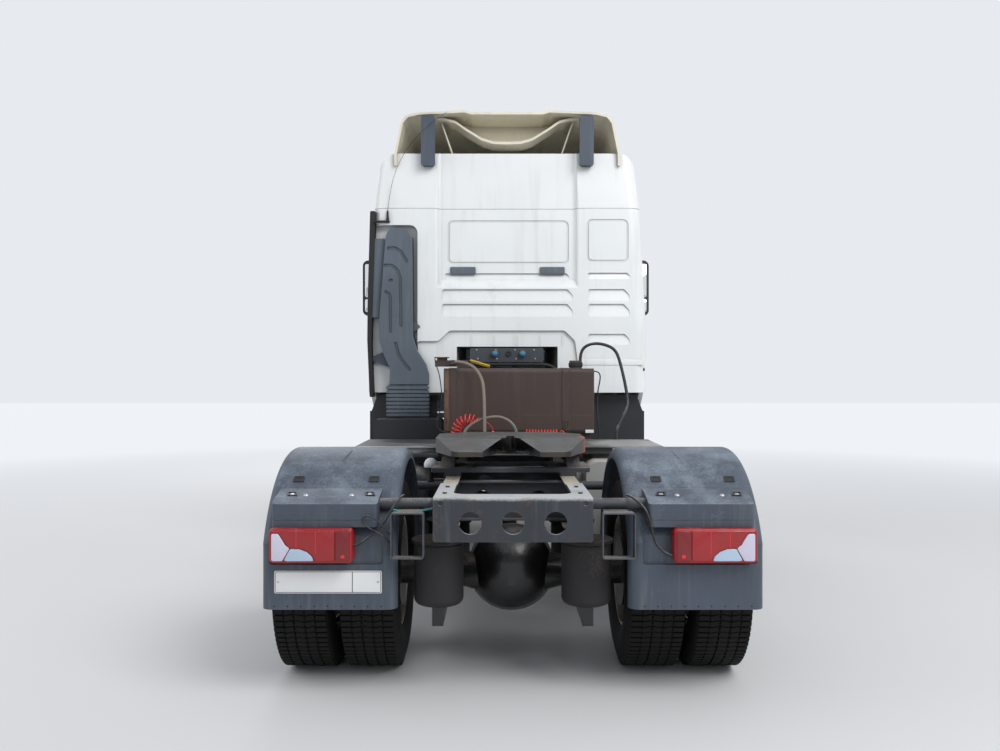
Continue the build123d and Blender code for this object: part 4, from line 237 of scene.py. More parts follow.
def layered(tree, group, fields, values, colour, finish):
    made = tree.nodes.new("ShaderNodeGroup")
    made.node_tree = group
    filled = {name: rgb(*value) if isinstance(value, tuple) else value for name, value in zip(fields, values)}
    for name, value in {"Color": colour, "Roughness": finish, **filled}.items():
        if name not in made.inputs:
            continue
        if isinstance(value, bpy.types.NodeSocket):
            tree.links.new(value, made.inputs[name])
        else:
            made.inputs[name].default_value = value
    return made.outputs


# %% The weathered stack
def weathered(name, base, roughness, drift=0.12, grain=None, rust=None, wear=None, streaks=None,
              corners=None, dust=None, weave=None, **sockets):
    material, tree, shader = bare_material(name, **sockets)
    cloud = noise(tree, object_place(tree), 1.7, 4.0)
    darker = rgb(*(value * (1 - drift) for value in base))
    lighter = rgb(*(min(1.0, value * (1 + drift)) for value in base))
    colour = mix_colours(tree, spread(tree, cloud, 0.3, 0.7), darker, lighter)
    finish = roughness
    height = None
    for (group, fields), values in zip(LAYERS, (rust, weave, wear, corners, streaks, dust)):
        if values:
            made = layered(tree, group, fields, values, colour, finish)
            colour = made["Color"]
            finish = made["Roughness"] if "Roughness" in made else finish
            height = made["Height"] if "Height" in made else height
    tree.links.new(colour, shader.inputs["Base Color"])
    if isinstance(finish, bpy.types.NodeSocket):
        tree.links.new(finish, shader.inputs["Roughness"])
    else:
        shader.inputs["Roughness"].default_value = finish
    normal = None
    if grain:
        speckle = noise(tree, object_place(tree), grain[0], 3.0)
        made = node(tree, "Bump", {"Height": speckle, "Strength": grain[1], "Distance": RELIEF})
        normal = made.outputs["Normal"]
    if height:
        made = node(tree, "Bump", {"Height": height, "Strength": 0.6, "Distance": RELIEF})
        if normal:
            tree.links.new(normal, made.inputs["Normal"])
        normal = made.outputs["Normal"]
    if normal:
        tree.links.new(normal, shader.inputs["Normal"])
    return material


ROAD_DUST = (0.40, 0.385, 0.36)
BROWN_DUST = (0.26, 0.205, 0.155)
# the corner colour on steel and plastic: dirt and painted shade in corners
DARK_DIRT_AND_SHADE = (0.035, 0.033, 0.03)

# %% [markdown]
# Two air coils and three hoses lie behind the cab. Real hoses bend in smooth curves, so each is one
# spline whose control points are the corners of its route. The coils are helices wound round such a
# line: the line is evaluated first, and the turns follow the points that come back.

# %% Hose finishes
finishes = {
    "black hose": weathered("black hose rubber", (0.018, 0.018, 0.02), 0.5, drift=0.3, grain=(240.0, 0.3),
                            dust=(ROAD_DUST, 0.18, 0.35, 7.0)),
    "dusty hose": weathered("dusty hose rubber", (0.20, 0.185, 0.165), 0.8, drift=0.35, grain=(160.0, 0.5),
                            dust=(BROWN_DUST, 0.35, 0.3, 9.0)),
    "red coil": weathered("red nylon coil", (0.62, 0.028, 0.03), 0.32, drift=0.1, grain=(90.0, 0.1),
                          dust=(BROWN_DUST, 0.12, 0.25, 12.0), Coat_Weight=0.2),
}
print("hose finishes", len(finishes))


# %% Splines for hoses
def hose_curve(name, points, diameter, finish):
    curve = bpy.data.curves.new(name, "CURVE")
    curve.dimensions = "3D"
    curve.bevel_depth = diameter / 2
    curve.bevel_resolution = 5
    curve.resolution_u = 10
    curve.use_fill_caps = True
    spline = curve.splines.new("NURBS")
    spline.points.add(len(points) - 1)
    for point, place in zip(spline.points, points):
        point.co = (*place, 1)
    spline.order_u = 3
    spline.use_endpoint_u = True
    curve.materials.append(finishes[finish])
    hose = bpy.data.objects.new(name, curve)
    scene.collection.objects.link(hose)
    return hose


def curve_piece(name, points, diameter, finish, body):
    piece = hose_curve(name, points, diameter, finish)
    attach(piece, body)
    return piece


def points_along(route):
    curve = hose_curve("route", route, 0, "black hose")
    bpy.context.view_layer.update()
    mesh = bpy.data.meshes.new_from_object(curve.evaluated_get(bpy.context.evaluated_depsgraph_get()))
    places = [vertex.co.copy() for vertex in mesh.vertices]
    bpy.data.meshes.remove(mesh)
    bpy.data.objects.remove(curve)
    return places


def length_of(places):
    return sum((b - a).length for a, b in zip(places, places[1:]))


def walk(places, distance):
    for a, b in zip(places, places[1:]):
        step = (b - a).length
        if distance <= step:
            return a.lerp(b, distance / step), (b - a).normalized()
        distance -= step
    return places[-1].copy(), (places[-1] - places[-2]).normalized()


# %% Routes, in metres
TANK_HOSE = [(-0.572, 0.1075, 1.6983), (-0.572, 0.1075, 1.750), (-0.602, 0.109, 1.806),
             (-0.668, 0.111, 1.836), (-0.760, 0.115, 1.828), (-0.845, 0.120, 1.790), (-0.885, 0.130, 1.690),
             (-0.935, 0.180, 1.430), (-0.930, 0.215, 1.320), (-0.868, 0.262, 1.235), (-0.828, 0.300, 1.140),
             (-0.828, 0.300, 1.0363)]
SUPPLY_HOSE = [(0.4117, 0.300, 1.686), (0.365, 0.300, 1.686), (0.302, 0.312, 1.668), (0.245, 0.350, 1.632),
               (0.199, 0.420, 1.556), (0.182, 0.500, 1.470), (0.174, 0.672, 1.222), (0.174, 0.672, 1.1003)]
DECK_HOSE = [(0.336, 0.594, 1.1003), (0.336, 0.594, 1.140), (0.310, 0.594, 1.190), (0.262, 0.594, 1.230),
             (0.192, 0.594, 1.262), (0.118, 0.594, 1.278), (0.045, 0.594, 1.275), (-0.022, 0.594, 1.236),
             (-0.062, 0.594, 1.172), (-0.062, 0.594, 1.1003)]
LEFT_COIL = [(0.390, 0.535, 1.1003), (0.390, 0.535, 1.186), (0.352, 0.535, 1.240), (0.298, 0.535, 1.262),
             (0.240, 0.535, 1.248)]
RIGHT_COIL = [(-0.130, 0.550, 1.1433), (-0.208, 0.567, 1.1433), (-0.292, 0.567, 1.1433),
              (-0.372, 0.550, 1.1433)]


# %% Plain hoses
def place_cord(name, route, diameter, finish, stiffness="medium", lay="hanging", slot="hose"):
    cord = curve_piece(name, route, diameter, finish, "chassis")
    length = length_of(points_along(route))
    print(name, "length", round(length, 3))
    return cord


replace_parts(place_cord("tank_hose_run", TANK_HOSE, 0.024, "black hose"), "tank_hose")
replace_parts(place_cord("supply_hose", SUPPLY_HOSE, 0.024, "dusty hose"), "service_hoses")
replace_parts(place_cord("deck_hose", DECK_HOSE, 0.022, "dusty hose"), "service_hoses")


# %% Coiled air hoses
def helix_points(route, tube, outer, turns, seed, lead_in=(), lead_out=()):
    places = points_along(route)
    total = length_of(places)
    chance = random.Random(seed)
    radius = (outer - tube) / 2
    across = Vector((0, 1, 0))
    points = [Vector(place) for place in lead_in]
    for number in range(turns * STEPS_A_TURN + 1):
        centre, along = walk(places, total * number / (turns * STEPS_A_TURN))
        side = across.cross(along).normalized()
        angle = math.tau * number / STEPS_A_TURN
        reach = radius * (1 + 0.03 * math.sin(angle * 0.37 + seed) + chance.uniform(-0.01, 0.01))
        points.append(centre + (across * math.cos(angle) + side * math.sin(angle)) * reach)
    points.extend(Vector(place) for place in lead_out)
    return [tuple(point) for point in points]


def coarser(coil, around):
    coil.data.resolution_u = 3
    coil.data.bevel_resolution = around


STEPS_A_TURN = 14
COIL_TUBE = 0.011
COIL_OUTER = 0.084
LEFT_ENDS = ([(0.384, 0.62, 1.103), (0.386, 0.60, 1.110)],
             [(0.222, 0.56, 1.270), (0.190, 0.55, 1.250), (0.152, 0.545, 1.226), (0.120, 0.54, 1.195),
              (0.114, 0.54, 1.150), (0.114, 0.54, 1.106)])
RIGHT_ENDS = ([(-0.126, 0.590, 1.103), (-0.128, 0.588, 1.120)],
              [(-0.376, 0.589, 1.162), (-0.390, 0.592, 1.176), (-0.406, 0.595, 1.168), (-0.412, 0.597, 1.140),
               (-0.412, 0.597, 1.105)])
COILS = [  # name, route, turns, seed, leads
    ("air_coil_left", LEFT_COIL, 10, 3, LEFT_ENDS), ("air_coil_right", RIGHT_COIL, 11, 8, RIGHT_ENDS),
]
for name, route, turns, seed, ends in COILS:
    points = helix_points(route, COIL_TUBE, COIL_OUTER, turns, seed, *ends)
    coil = place_cord(name, points, COIL_TUBE, "red coil", "stiff", "coiled", "coil_red")
    coarser(coil, 3)
    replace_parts(coil, "air_coils")

# %% [markdown]
# The stage is a pale floor and a pale sky. The sky's own light is kept low and even, and one large
# soft lamp stands high behind the vehicle on the picture's right, because the photograph's steps and
# ribs all have their bright side there. What the camera, glass and metal see of the sky is paler.

# %% Floor, sky and lamps
FLOOR_COLOUR = rgb(0.66, 0.655, 0.65)
SKY_COLOUR = rgb(0.80, 0.83, 0.87)
floor_mesh = bpy.data.meshes.new("floor")
floor_mesh.from_pydata([(-40, -40, 0), (40, -40, 0), (40, 40, 0), (-40, 40, 0)], [], [(0, 1, 2, 3)])
floor = bpy.data.objects.new("floor", floor_mesh)
scene.collection.objects.link(floor)
floor_finish, floor_tree, floor_shader = bare_material("pale floor", Roughness=0.9)
away = node(floor_tree, "VectorMath", {0: node(floor_tree, "TexCoord").outputs["Object"]}, operation="LENGTH")
seen = node(floor_tree, "LightPath").outputs["Is Camera Ray"]
fade = calculate(floor_tree, "MULTIPLY", spread(floor_tree, away.outputs["Value"], 4.0, 13.0), seen)
BLACK = rgb(0, 0, 0)
for socket, near, far in (("Base Color", FLOOR_COLOUR, BLACK), ("Emission Color", BLACK, SKY_COLOUR)):
    floor_tree.links.new(mix_colours(floor_tree, fade, near, far), floor_shader.inputs[socket])
floor_shader.inputs["Emission Strength"].default_value = 1.0
floor_mesh.materials.append(floor_finish)

world = bpy.data.worlds.new("sky")
scene.world = world
world.use_nodes = True
sky = world.node_tree
sky.nodes.clear()
rays = node(sky, "LightPath").outputs
seen = calculate(sky, "MAXIMUM", rays["Is Camera Ray"],
                 calculate(sky, "MAXIMUM", rays["Is Glossy Ray"], rays["Is Transmission Ray"]))
glow = node(sky, "Background", {"Color": mix_colours(sky, seen, rgb(0.75, 0.79, 0.85), SKY_COLOUR),
                                "Strength": spread(sky, seen, 0, 1, 0.74, 1.0)})
sky.links.new(glow.outputs[0], node(sky, "OutputWorld").inputs[0])

LAMPS = [  # name, place, aim, size, watts
    ("high lamp", (-5.5, 7.5, 8.5), (0, 0, 1.6), 6.0, 760),
    ("side lamp", (8.0, 2.0, 5.0), (0, 0, 1.6), 5.0, 130),
    ("front lamp", (2.0, -9.0, 6.0), (0, -2, 1.6), 5.0, 320),
]
for name, place, aim, size, watts in LAMPS:
    lamp = bpy.data.objects.new(name, bpy.data.lights.new(name, "AREA"))
    lamp.data.size = size
    lamp.data.energy = watts
    lamp.location = place
    lamp.rotation_euler = (Vector(aim) - Vector(place)).to_track_quat("-Z", "Y").to_euler()
    scene.collection.objects.link(lamp)
print("lamps", len(LAMPS))

# %% [markdown]
# Now the finishes of the CAD pieces themselves. Each is named for what it is on the vehicle, and a
# table says which pieces wear it. The pieces keep their shape and place, only their paint changes.

# %% Finishes
WHITE = (0.84, 0.86, 0.855)
STEEL = dict(drift=0.2, grain=(120.0, 0.3), corners=(DARK_DIRT_AND_SHADE, 0.6, 0.06))
TINTED = dict(drift=0.08, grain=(60.0, 0.15), dust=(ROAD_DUST, 0.12, 0.2, 9.0), Coat_Weight=0.4)
LENS = dict(drift=0.1, grain=(60.0, 0.1), Coat_Weight=0.4)
SLEEVE = dict(drift=0.1, grain=(90.0, 0.1), dust=(BROWN_DUST, 0.18, 0.2, 12.0))
finishes |= {
    "cab white": weathered(
        "cab white paint", WHITE, 0.34, drift=0.03, corners=((0.30, 0.29, 0.27), 0.5, 0.05),
        streaks=((0.52, 0.50, 0.46), 0.28, 14.0), dust=((0.55, 0.53, 0.49), 0.16, 0.1, 3.0),
        Coat_Weight=0.35, Coat_Roughness=0.15),
    "roof white": weathered(
        "roof moulding white", (0.84, 0.855, 0.845), 0.4, drift=0.03,
        corners=((0.28, 0.27, 0.25), 0.6, 0.05), streaks=((0.50, 0.48, 0.43), 0.25, 12.0),
        dust=((0.58, 0.56, 0.51), 0.12, 0.12, 3.0), Coat_Weight=0.2, Coat_Roughness=0.25),
    "spoiler cream": weathered(
        "aged cream moulding", (0.76, 0.71, 0.57), 0.45, drift=0.08, grain=(18.0, 0.25),
        corners=((0.24, 0.21, 0.17), 0.7, 0.07), streaks=((0.46, 0.42, 0.33), 0.5, 16.0),
        dust=((0.55, 0.51, 0.42), 0.16, 0.1, 4.0)),
    # On these two blue-grey plastics the bluish colour on up-facing surfaces is partly real dust and partly
    # painted sky highlight on the arch tops.
    "dusty plastic with sky sheen": weathered(
        "dusty dark plastic with painted sky sheen", (0.060, 0.078, 0.106), 0.50, drift=0.16, grain=(330.0, 0.5),
        wear=((0.20, 0.21, 0.22), 0.5, 0.005), corners=(DARK_DIRT_AND_SHADE, 0.5, 0.05),
        streaks=((0.16, 0.165, 0.17), 0.45, 34.0), dust=((0.27, 0.31, 0.36), 0.15, 0.30, 5.0)),
    "snorkel plastic": weathered(
        "weathered intake plastic with painted sky sheen", (0.098, 0.122, 0.150), 0.50, drift=0.16, grain=(330.0, 0.5),
        wear=((0.26, 0.28, 0.30), 0.5, 0.006), corners=((0.012, 0.012, 0.014), 0.8, 0.05),
        streaks=((0.17, 0.18, 0.19), 0.4, 30.0), dust=((0.27, 0.31, 0.36), 0.16, 0.25, 5.0)),
    "dark plastic": weathered(
        "dark side plastic", (0.012, 0.014, 0.018), 0.46, drift=0.2, grain=(300.0, 0.5),
        wear=((0.09, 0.09, 0.095), 0.5, 0.005), corners=((0.008, 0.008, 0.008), 0.6, 0.06),
        dust=((0.15, 0.16, 0.17), 0.12, 0.25, 5.0)),
    "deck steel": weathered(
        "deck steel", (0.028, 0.030, 0.032), 0.55, drift=0.25, grain=(90.0, 0.4), rust=(0.14, 6.0),
        wear=((0.30, 0.29, 0.27), 0.6, 0.006), corners=(DARK_DIRT_AND_SHADE, 0.6, 0.06),
        dust=((0.20, 0.195, 0.18), 0.22, 0.20, 4.0)),
    "rail steel": weathered(
        "rail steel", (0.048, 0.055, 0.064), 0.55, rust=(0.16, 7.0), wear=((0.20, 0.17, 0.15), 0.6, 0.005),
        dust=((0.50, 0.44, 0.34), 0.22, 0.62, 5.0), **STEEL),
    "end plate steel": weathered(
        "end plate steel", (0.030, 0.036, 0.044), 0.5, rust=(0.15, 7.0),
        wear=((0.20, 0.18, 0.17), 0.6, 0.005), streaks=((0.13, 0.135, 0.14), 0.5, 30.0),
        dust=((0.44, 0.445, 0.44), 0.16, 0.62, 5.0), **STEEL),
    "amber lens": weathered(
        "amber lamp lens", (0.85, 0.30, 0.02), 0.25, drift=0.08, grain=(90.0, 0.2),
        dust=(ROAD_DUST, 0.08, 0.2, 9.0), Coat_Weight=0.4),
    "mirror glass": weathered("mirror glass", (0.80, 0.82, 0.83), 0.04, drift=0.02, Metallic=1.0),
    "coupling blue": weathered(
        "blue coupling cap", (0.055, 0.22, 0.36), 0.4, drift=0.1, grain=(90.0, 0.2),
        corners=((0.02, 0.03, 0.04), 0.6, 0.01), dust=(ROAD_DUST, 0.1, 0.2, 9.0)),
    "seam rust and highlight": weathered(
        "rusty seam and painted highlight", (0.150, 0.088, 0.060), 0.75, drift=0.25, grain=(90.0, 0.5), rust=(0.2, 9.0)),
    "guard yellow": weathered("yellow spiral guard", (0.72, 0.50, 0.03), 0.45, **SLEEVE),
    "teal sheath": weathered("teal cable sheath", (0.03, 0.26, 0.24), 0.45, **SLEEVE),
    "frame steel": weathered(
        "dusty frame steel", (0.050, 0.058, 0.070), 0.55, rust=(0.16, 7.0),
        wear=((0.20, 0.17, 0.15), 0.6, 0.005), dust=((0.30, 0.275, 0.24), 0.20, 0.32, 5.0), **STEEL),
    "greasy casting": weathered(
        "greasy casting", (0.004, 0.004, 0.0045), 0.36, drift=0.4, grain=(70.0, 0.8),
        corners=((0.006, 0.006, 0.006), 0.7, 0.06), dust=((0.10, 0.08, 0.06), 0.16, 0.3, 9.0),
        Coat_Weight=0.3, Coat_Roughness=0.2),
    "coupling plate": weathered(
        "greased coupling plate", (0.036, 0.036, 0.038), 0.38, drift=0.3, grain=(60.0, 0.7),
        rust=(0.10, 9.0), wear=((0.30, 0.27, 0.23), 0.5, 0.006), corners=((0.008, 0.008, 0.009), 0.9, 0.10),
        dust=((0.15, 0.12, 0.09), 0.30, 0.06, 8.0)),
    "rusty tank": weathered(
        "brown rusty tank", (0.060, 0.038, 0.032), 0.55, drift=0.14, grain=(40.0, 0.3), rust=(0.10, 3.0),
        wear=((0.20, 0.15, 0.12), 0.6, 0.012), corners=((0.03, 0.022, 0.02), 0.6, 0.08),
        streaks=((0.13, 0.10, 0.085), 0.4, 9.0), dust=((0.17, 0.13, 0.105), 0.16, 0.18, 3.0)),
    "aluminium": weathered(
        "dull aluminium sheet", (0.50, 0.50, 0.485), 0.5, drift=0.1, grain=(50.0, 0.2),
        wear=((0.75, 0.75, 0.73), 0.5, 0.005), corners=((0.12, 0.11, 0.10), 0.6, 0.05),
        dust=((0.47, 0.45, 0.41), 0.3, 0.4, 5.0), Metallic=0.6),
    # The tyre base is darker than black rubber, to match the tyres in shade under the guards: partly painted
    # shade.
    "tyre": weathered(
        "tyre rubber", (0.0045, 0.0044, 0.0046), 0.72, drift=0.3, grain=(150.0, 0.6),
        corners=((0.012, 0.010, 0.008), 0.4, 0.02), dust=((0.11, 0.085, 0.06), 0.11, 0.05, 6.0),
        Specular_IOR_Level=0.25),
    "rim": weathered(
        "wheel steel", (0.36, 0.35, 0.33), 0.5, drift=0.1, grain=(80.0, 0.2), rust=(0.14, 9.0),
        wear=((0.22, 0.12, 0.08), 0.4, 0.005), corners=((0.06, 0.05, 0.04), 0.7, 0.06),
        dust=(BROWN_DUST, 0.3, 0.3, 5.0)),
    "bellows": weathered(
        "dusty spring rubber", (0.011, 0.010, 0.011), 0.7, drift=0.3, grain=(120.0, 0.5),
        corners=((0.006, 0.006, 0.006), 0.6, 0.06), dust=((0.12, 0.09, 0.065), 0.22, 0.3, 6.0)),
    "trim": weathered(
        "cabin trim", (0.20, 0.19, 0.18), 0.6, drift=0.06, grain=(420.0, 0.6),
        corners=((0.05, 0.05, 0.05), 0.5, 0.06), dust=(ROAD_DUST, 0.1, 0.2, 5.0)),
    "cloth": weathered(
        "seat cloth", (0.05, 0.055, 0.07), 0.9, drift=0.15, grain=(900.0, 0.5),
        weave=(160.0, (0.10, 0.11, 0.135)), corners=((0.02, 0.02, 0.025), 0.5, 0.03),
        dust=(ROAD_DUST, 0.1, 0.1, 5.0), Sheen_Weight=0.4),
    "ticking": weathered(
        "mattress ticking", (0.26, 0.265, 0.28), 0.9, drift=0.1, grain=(700.0, 0.4),
        weave=(110.0, (0.36, 0.365, 0.38)), corners=((0.10, 0.10, 0.10), 0.5, 0.03),
        dust=(ROAD_DUST, 0.1, 0.1, 5.0), Sheen_Weight=0.3),
    "red lens": weathered(
        "red lamp lens", (0.34, 0.010, 0.014), 0.22, dust=(ROAD_DUST, 0.12, 0.3, 9.0), **LENS),
    "clear lens": weathered(
        "clear lamp lens", (0.70, 0.73, 0.77), 0.15, dust=(ROAD_DUST, 0.15, 0.2, 9.0), **LENS),
    "steel bolt": weathered(
        "bare bolt steel", (0.20, 0.185, 0.17), 0.5, drift=0.3, rust=(0.14, 30.0),
        corners=((0.05, 0.04, 0.03), 0.6, 0.02), dust=(BROWN_DUST, 0.2, 0.2, 20.0), Metallic=0.5),
    "galvanised": weathered(
        "galvanised fitting", (0.55, 0.55, 0.53), 0.4, drift=0.15, grain=(200.0, 0.2),
        corners=((0.10, 0.10, 0.09), 0.6, 0.02), dust=(ROAD_DUST, 0.1, 0.15, 20.0), Metallic=0.7),
    "black plastic": weathered(
        "plain black plastic", (0.022, 0.023, 0.026), 0.45, drift=0.2, grain=(300.0, 0.3),
        corners=((0.01, 0.01, 0.01), 0.5, 0.02), dust=(ROAD_DUST, 0.1, 0.15, 9.0)),
    "black rubber": weathered(
        "black sealing rubber", (0.012, 0.012, 0.013), 0.7, drift=0.2, grain=(200.0, 0.4),
        dust=(ROAD_DUST, 0.08, 0.15, 9.0)),
    # Flat black for grille gaps and foot holes is painted shade inside them; on the blank plate it draws
    # lines.
    "shade and line black": weathered("painted shade and line black", (0.008, 0.008, 0.008), 0.9, drift=0.1),
    "plate white": weathered(
        "blank plate white", (0.78, 0.79, 0.79), 0.35, drift=0.02, grain=(90.0, 0.1),
        corners=((0.3, 0.29, 0.27), 0.4, 0.01), dust=(ROAD_DUST, 0.10, 0.1, 7.0)),
    "lamp rim": weathered(
        "red lamp housing", (0.36, 0.012, 0.016), 0.35, drift=0.1, grain=(90.0, 0.1),
        corners=((0.05, 0.004, 0.004), 0.7, 0.012), dust=(ROAD_DUST, 0.10, 0.2, 9.0)),
    "deep red lens": weathered(
        "deep red lens", (0.20, 0.006, 0.010), 0.25, dust=(ROAD_DUST, 0.10, 0.2, 9.0), **LENS),
    "bright red": weathered("bright red reflector", (0.80, 0.03, 0.03), 0.3, drift=0.1, grain=(200.0, 0.3)),
    "lilac lens": weathered("lilac lamp lens", (0.62, 0.60, 0.72), 0.25, **TINTED),
    "blue lens": weathered("pale blue lamp lens", (0.44, 0.56, 0.70), 0.25, **TINTED),
}
finishes["glass"] = bare_material("tinted window glass", Base_Color=rgb(0.62, 0.70, 0.70), Roughness=0.03,
                                  Transmission_Weight=0.92, IOR=1.45)[0]
print("finishes", len(finishes))

# %% Which piece wears which finish
WORN_BY = {
    "cab white": ["cab_front_frame", "cab_sides", "cab_rear_wall", "door_left", "door_right"],
    "roof white": ["high_roof", "front_flap"],
    "spoiler cream": ["roof_spoiler"],
    "dusty plastic with sky sheen": ["front_bumper", "mudguard_arches", "rear_mudguards", "spoiler_stays"],
    "snorkel plastic": ["intake_snorkel"],
    "dark plastic": ["entry_steps", "front_mudguards", "battery_box", "air_filter_box", "mirrors"],
    "frame steel": ["crossmembers", "fifth_wheel_base", "air_tanks", "mudguard_brackets", "cab_mounts",
                    "coupling_panel"],
    "rail steel": ["frame_rails"],
    "end plate steel": ["end_crossmember"],
    "deck steel": ["deck_plate"],
    "greasy casting": ["rear_axle", "propshaft", "engine", "front_axle", "leaf_springs", "knuckle_left",
                       "knuckle_right", "track_rod"],
    "coupling plate": ["fifth_wheel"],
    "rusty tank": ["rear_tank", "tank_cradle"],
    "aluminium": ["side_fuel_tank"],
    "tyre": ["tyre_front_left", "tyre_front_right", "tyre_rear_left", "tyre_rear_right"],
    "rim": ["rim_front_left", "rim_front_right", "rim_rear_left", "rim_rear_right"],
    "bellows": ["air_springs"],
    "trim": ["cab_floor", "dashboard"],
    "cloth": ["seats", "bunk"],
    "red lens": ["tail_lamps"],
    "clear lens": ["headlamps"],
    "glass": ["windscreen", "window_left", "window_right"],
}
for finish, names in WORN_BY.items():
    for name in names:
        slots = nodes[name].data.materials
        slots.clear()
        slots.append(finishes[finish])
left_plain = sorted(set(nodes) - set(sum(WORN_BY.values(), [])))
print("pieces without a finish", left_plain)

# %% [markdown]
# The finer pieces are plates, rounded slabs and turned rings. Each starts as a flat outline or a
# profile in its own plane, because that is how such a part is drawn, and is then placed on the
# vehicle by one corner and three directions. Corner points and faces are all that a mesh needs.


# %% Outlines
def rounded(points, radius, steps=4):
    result = []
    count = len(points)
    for index in range(count):
        before, corner, after = (Vector(points[(index + step) % count]) for step in (-1, 0, 1))
        one = before - corner
        other = after - corner
        reach = min(radius / math.tan(one.angle(other) / 2), 0.49 * min(one.length, other.length))
        start = corner + one.normalized() * reach
        end = corner + other.normalized() * reach
        for step in range(steps + 1):
            share = step / steps
            result.append(tuple(start.lerp(corner, share).lerp(corner.lerp(end, share), share)))
    return result


def oblong(u0, u1, v0, v1, radius, steps=4):
    return rounded([(u0, v0), (u1, v0), (u1, v1), (u0, v1)], radius, steps)


def shrunk(outline, distance):
    count = len(outline)
    area = sum(a[0] * b[1] - b[0] * a[1] for a, b in zip(outline, outline[1:] + outline[:1]))
    turn = distance if area > 0 else -distance
    moved = []
    for index in range(count):
        before, here, after = (Vector(outline[(index + step) % count]) for step in (-1, 0, 1))
        into = (here - before).normalized()
        onward = (after - here).normalized()
        normal = Vector((-into.y - onward.y, into.x + onward.x))
        normal /= max(0.35, normal.length ** 2 / 2)
        moved.append(tuple(here + normal * turn))
    return moved


# %% Solid shapes from them
def grid_faces(rows, count, round_rows=False, round_count=True):
    for row in range(rows if round_rows else rows - 1):
        after = (row + 1) % rows
        for index in range(count if round_count else count - 1):
            beside = (index + 1) % count
            yield row * count + index, row * count + beside, after * count + beside, after * count + index


def slab(outline, low, high, edge=0.0, steps=2):
    rings = [(outline, low), (outline, high - edge)]
    for step in range(1, steps + 1 if edge else 1):
        angle = math.pi / 2 * step / steps
        rings.append((shrunk(outline, edge * (1 - math.cos(angle))), high - edge + edge * math.sin(angle)))
    count = len(outline)
    places = [(u, v, w) for ring, w in rings for u, v in ring]
    ends = [tuple(range(count))[::-1], tuple(range(count * (len(rings) - 1), count * len(rings)))]
    return places, ends + list(grid_faces(len(rings), count))


def turned(profile, steps=32, closed=False):
    angles = [math.tau * number / steps for number in range(steps)]
    places = [(r * math.cos(angle), r * math.sin(angle), w) for angle in angles for r, w in profile]
    return places, list(grid_faces(steps, len(profile), True, closed))


def framed(width, height, rim, thickness, lean=0.0):
    outline = [(-width / 2 - lean, -height / 2), (width / 2 - lean, -height / 2),
               (width / 2 + lean, height / 2), (-width / 2 + lean, height / 2)]
    outer = rounded(outline, 0.004, 3)
    inner = shrunk(outer, rim)
    places = [(u, v, w) for ring, w in ((outer, 0), (outer, thickness), (inner, thickness), (inner, 0))
              for u, v in ring]
    return places, list(grid_faces(4, len(outer), True))


# %% Placing a shape by its three directions
FLAT = ((1, 0, 0), (0, 1, 0), (0, 0, 1))
TO_FRONT = ((1, 0, 0), (0, 0, 1), (0, -1, 0))
TO_REAR = ((1, 0, 0), (0, 0, 1), (0, 1, 0))
SIDES = (("left", 1), ("right", -1))


def to_side(sign):
    return (0, 1, 0), (0, 0, 1), (sign, 0, 0)


def placed(shape, origin, axes=FLAT):
    places, faces = shape
    start, u, v, w = (Vector(value) for value in (origin, *axes))
    return [tuple(start + u * a + v * b + w * c) for a, b, c in places], faces


def on_rear(shape, y=0.0, x=0.0, z=0.0):
    return placed(shape, (x, y, z), TO_REAR)


# %% A finished piece
def add_piece(name, shapes, finish, body, smooth=32):
    work = bmesh.new()
    for places, faces in shapes:
        corners = [work.verts.new(place) for place in places]
        for face in faces:
            work.faces.new([corners[index] for index in face])
    bmesh.ops.remove_doubles(work, verts=work.verts, dist=0.00001)
    bmesh.ops.recalc_face_normals(work, faces=work.faces)
    mesh = bpy.data.meshes.new(name)
    work.to_mesh(mesh)
    work.free()
    return show_piece(name, mesh, finish, body, smooth)


def show_piece(name, mesh, finish, body, smooth=32):
    mesh.shade_smooth()
    mesh.set_sharp_from_angle(angle=math.radians(smooth))
    mesh.materials.clear()
    mesh.materials.append(finishes[finish])
    piece = bpy.data.objects.new(name, mesh)
    scene.collection.objects.link(piece)
    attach(piece, body)
    return piece


def dark_piece(name, shapes, finish, body="chassis"):
    return add_piece(name, shapes, finish, body)


# %% [markdown]
# Bolts, slats and tread blocks repeat by the dozen, so Geometry Nodes set them out. A tree takes its
# sizes as named inputs. The modifier is filled in before the first evaluation, the result is copied
# out as a plain mesh, and the modifier goes with its carrier.

# %% Running a geometry tree
SOCKET_KINDS = {int: "Int", float: "Float", tuple: "Vector"}


def geo(tree, kind, inputs=None, **settings):
    return node(tree, kind, inputs, family="GeometryNode", **settings)


def geometry_tree(title, **inputs):
    tree = bpy.data.node_groups.new(title, "GeometryNodeTree")
    tree.interface.new_socket("Geometry", in_out="OUTPUT", socket_type="NodeSocketGeometry")
    for name, value in inputs.items():
        kind = "NodeSocket" + SOCKET_KINDS[type(value)]
        tree.interface.new_socket(name, in_out="INPUT", socket_type=kind).default_value = value
    tree.interface.new_socket("Finish", in_out="INPUT", socket_type="NodeSocketMaterial")
    return tree, tree.nodes.new("NodeGroupInput").outputs, tree.nodes.new("NodeGroupOutput").inputs


def close_tree(tree, given, out, geometry):
    whole = geo(tree, "RealizeInstances", {"Geometry": geometry}).outputs[0]
    done = geo(tree, "SetMaterial", {"Geometry": whole, "Material": given["Finish"]}).outputs[0]
    tree.links.new(done, out["Geometry"])


